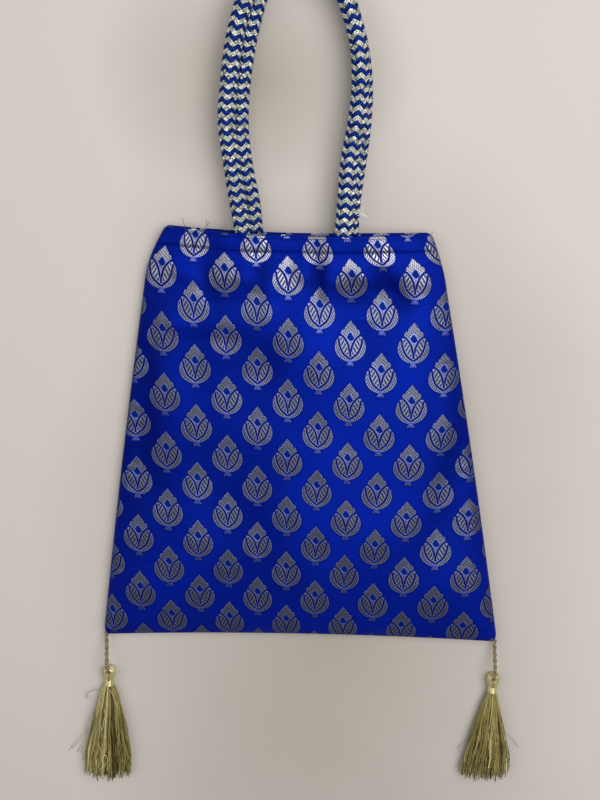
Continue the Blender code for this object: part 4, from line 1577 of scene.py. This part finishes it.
brocadeMake = {
    "material": brocadeCloth,
    "slot": "royal_brocade",
    "wall": bag["cloth"],
    "inset": 0.0,
    "drop": 0.0,
}
liningMake = {
    "material": liningCloth,
    "slot": "navy_lining",
    "wall": bag["lining"],
    "inset": bag["liningInset"],
    "drop": bag["liningDrop"],
}
panels = [
    {
        "name": "front_brocade",
        "make": brocadeMake,
        "node": "front_panel",
        "face": frontFace,
        "woven": woven,
        "lines": (190, 238),
        "facesUp": True,
        "restsOn": ["front_lining"],
    },
    {
        "name": "back_brocade",
        "make": brocadeMake,
        "node": "back_panel",
        "face": backFace,
        "lines": (110, 130),
        "facesUp": False,
        "restsOn": [],
    },
    {
        "name": "front_liner",
        "make": liningMake,
        "node": "front_lining",
        "face": frontLinerFace,
        "lines": (90, 90),
        "facesUp": True,
        "restsOn": ["back_lining"],
    },
    {
        "name": "back_liner",
        "make": liningMake,
        "node": "back_lining",
        "face": backLiningLow,
        "lines": (70, 70),
        "facesUp": False,
        "restsOn": ["back_panel"],
    },
]


def clothSheet(panel):
    make = panel["make"]
    bm = bmesh.new()
    flat = bm.loops.layers.uv.new("flat")
    hollow = bm.verts.layers.float.new("hollow")
    columns, rows = panel["lines"]
    verts = bmesh.ops.create_grid(bm, x_segments=columns, y_segments=rows, size=1.0)["verts"]
    inset, top = make["inset"], bag["height"] - make["drop"]
    pattern = panel.get("woven")
    places = {}
    for vert in verts:
        t = inset + (top - inset) * (crowded(vert.co.y) + 1) / 2
        places[vert] = (crowded(vert.co.x) * (rowHalfWidth(t) - inset), t)
    for face in bm.faces:
        face.smooth = True
        for loop in face.loops:
            place = places[loop.vert]
            loop[flat].uv = pattern(*place) if pattern else place
    for vert, (x, t) in places.items():
        vert.co = (*across(x, t), panel["face"](x, t))
        # The fold depth is kept for the material, which paints shade into the hollows and light onto
        # the crests and puffs
        if pattern:
            depth = foldHeight(x, t) + puffed(x, bag["height"] - t)
            vert[hollow] = -depth / cloth["paintedShadeDepth"]
    bmesh.ops.recalc_face_normals(bm, faces=bm.faces[:])
    if (bm.faces[len(bm.faces) // 2].normal.z > 0) != panel["facesUp"]:
        bmesh.ops.reverse_faces(bm, faces=bm.faces[:])
    return pieceFrom(bm, panel["name"], [make["material"]])


def makePanel(panel):
    make = panel["make"]
    made = clothSheet(panel)
    wall = made.modifiers.new("wall", "SOLIDIFY")
    wall.thickness = make["wall"] * cloth["wallShare"]
    wall.offset = -1
    wall.use_even_offset = False
    wall.use_rim = True
    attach(made, "bag")
    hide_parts(panel["node"])


for panel in panels:
    makePanel(panel)
print("cloth laid")


# Threads that have worked loose at the hem and at the foot of the right handle. Each run is
# three points: x, and how far above the hem's edge.
loose = {
    "thread": 0.00013,
    "fluff": 0.00022,
    "steps": 10,
    "dark": [
        ((-0.0622, -0.001), (-0.0629, 0.003), (-0.0640, 0.0062)),
        ((-0.0522, -0.001), (-0.0508, 0.002), (-0.0482, 0.0055)),
        ((-0.0502, 0.0030), (-0.0498, 0.0038), (-0.0500, 0.0064)),
        ((0.0772, -0.001), (0.0780, 0.0006), (0.0796, 0.0012)),
    ],
    "pale": [
        ((-0.0600, -0.0004), (-0.0582, 0.0010), (-0.0560, 0.0002)),
        ((-0.0606, -0.0004), (-0.0590, 0.0004), (-0.0570, -0.0002)),
        ((-0.0078, -0.0002), (-0.0068, 0.0007), (-0.0055, 0.0001)),
        ((0.0342, 0.0140), (0.0372, 0.0122), (0.0402, 0.0116)),
        ((0.0352, 0.0118), (0.0375, 0.0130), (0.0410, 0.0106)),
        ((0.0378, 0.0122), (0.0372, 0.0146), (0.0386, 0.0166)),
        ((0.0362, 0.0128), (0.0376, 0.0122), (0.0392, 0.0128)),
    ],
    "onRope": (0.020, 0.050, 0.006),
    "overRope": 0.0004,
    "overCloth": 0.0003,
    "belowEdge": 0.003,
    "ripple": 0.0004,
}


def looseLevel(x, up):
    # Over the hem, and over the rope where a thread crosses it
    left, right, above = loose["onRope"]
    if left < x < right and up > above:
        return frontLevel + rope["radius"] + loose["overRope"]
    return frontFace(x, bag["height"] - loose["belowEdge"]) + loose["overCloth"]


def makeLoose(name, runs, radius, material):
    curve = threadCurve(name, radius, 1, [material])
    for run in runs:
        points = []
        for k in range(loose["steps"] + 1):
            share = k / loose["steps"]
            weights = ((1 - share) ** 2, 2 * share * (1 - share), share * share)
            x = sum(weight * place[0] for weight, place in zip(weights, run))
            up = sum(weight * place[1] for weight, place in zip(weights, run))
            z = looseLevel(x, up) + loose["ripple"] * sin(9 * share + 40 * x)
            points.append((x, across(x, bag["height"]).y + up, z))
        addStrand(curve, points)
    made = laidThreads(curve)
    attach(made, "bag")


makeLoose("loose_sewing", loose["dark"], loose["thread"], dyed["sewingThread"])
makeLoose("loose_fluff", loose["pale"], loose["fluff"], dyed["paleFluff"])
print("loose threads laid")


# Floor and light
studio = {
    "floorSize": 4.0,
    "floor": (0.520, 0.474, 0.435, 1.0),
    # The dim colour and the two patches after it paint a soft shadow onto the floor
    "floorShadow": (0.300, 0.268, 0.222, 1.0),
    "floorRoughness": 0.8,
    "mottle": 0.9,
    "shadowMiddle": (0.02, -0.12),
    "shadowReach": (0.19, 0.34),
    "loopShadowMiddle": (-0.02, 0.215),
    "loopShadowReach": (0.11, 0.09),
    "loopShadowPale": 0.18,
    "aim": (0, 0.02, 0),
    "keyPower": 17.5,
    "keyPlace": (0.45, 0.30, 1.10),
    "keySize": 1.3,
    "sidePower": 6.0,
    "sidePlace": (-0.90, 0.30, 1.05),
    "sideSize": 1.2,
    "world": (0.84, 0.86, 0.90, 1.0),
    "worldPower": 0.25,
}


def fromMiddle(net, x, y, middle, reach):
    # 0 at the middle of a patch of painted shadow on the floor, 1 at its edge
    dx = net.times(net.take(x, middle[0]), 1 / reach[0])
    dy = net.times(net.take(y, middle[1]), 1 / reach[1])
    return net.calc("SQRT", net.add(net.times(dx, dx), net.times(dy, dy)))


def floorMaterial():
    net = Net("paleWall")
    place = net.objectPlace()
    mottle = net.noise(place, 3.0, 4.0)
    grain = net.noise(place, 260.0, 3.0)
    split = net.node("ShaderNodeSeparateXYZ")
    net.feed(split.inputs[0], place)
    x, y = split.outputs["X"], split.outputs["Y"]
    # Painted shadow: the floor is a little dimmer round the bag, and dimmer again inside the
    # handles' loop
    unshadowed = fromMiddle(net, x, y, studio["shadowMiddle"], studio["shadowReach"])
    fromLoopShadow = fromMiddle(net, x, y, studio["loopShadowMiddle"], studio["loopShadowReach"])
    unshadowed = net.least(unshadowed, net.add(fromLoopShadow, studio["loopShadowPale"]))
    uneven = net.times(net.take(mottle, 0.5), studio["mottle"])
    unshadowed = net.level(net.add(unshadowed, uneven), 0.0, 1.0)
    return net.finish(
        Base_Color=net.blend(unshadowed, studio["floorShadow"], studio["floor"]),
        Roughness=studio["floorRoughness"],
        Normal=net.bump(grain, 0.0002, 0.2),
    )


def areaLight(name):
    place = Vector(studio[f"{name}Place"])
    light = bpy.data.lights.new(name, "AREA")
    light.energy = studio[f"{name}Power"]
    light.shape = "DISK"
    light.size = studio[f"{name}Size"]
    shown = bpy.data.objects.new(name, light)
    shown.location = place
    toAim = Vector(studio["aim"]) - place
    shown.rotation_euler = toAim.to_track_quat("-Z", "Y").to_euler()
    bpy.context.scene.collection.objects.link(shown)


def makeStudio():
    bm = bmesh.new()
    bmesh.ops.create_grid(bm, x_segments=1, y_segments=1, size=studio["floorSize"])
    pieceFrom(bm, "paleFloor", [floorMaterial()])
    areaLight("key")
    areaLight("side")
    world = bpy.data.worlds.new("softRoom")
    world.use_nodes = True
    sky = world.node_tree.nodes["Background"]
    sky.inputs["Color"].default_value = studio["world"]
    sky.inputs["Strength"].default_value = studio["worldPower"]
    bpy.context.scene.world = world
    bpy.context.scene.view_settings.view_transform = "Standard"


makeStudio()
print("studio lit")
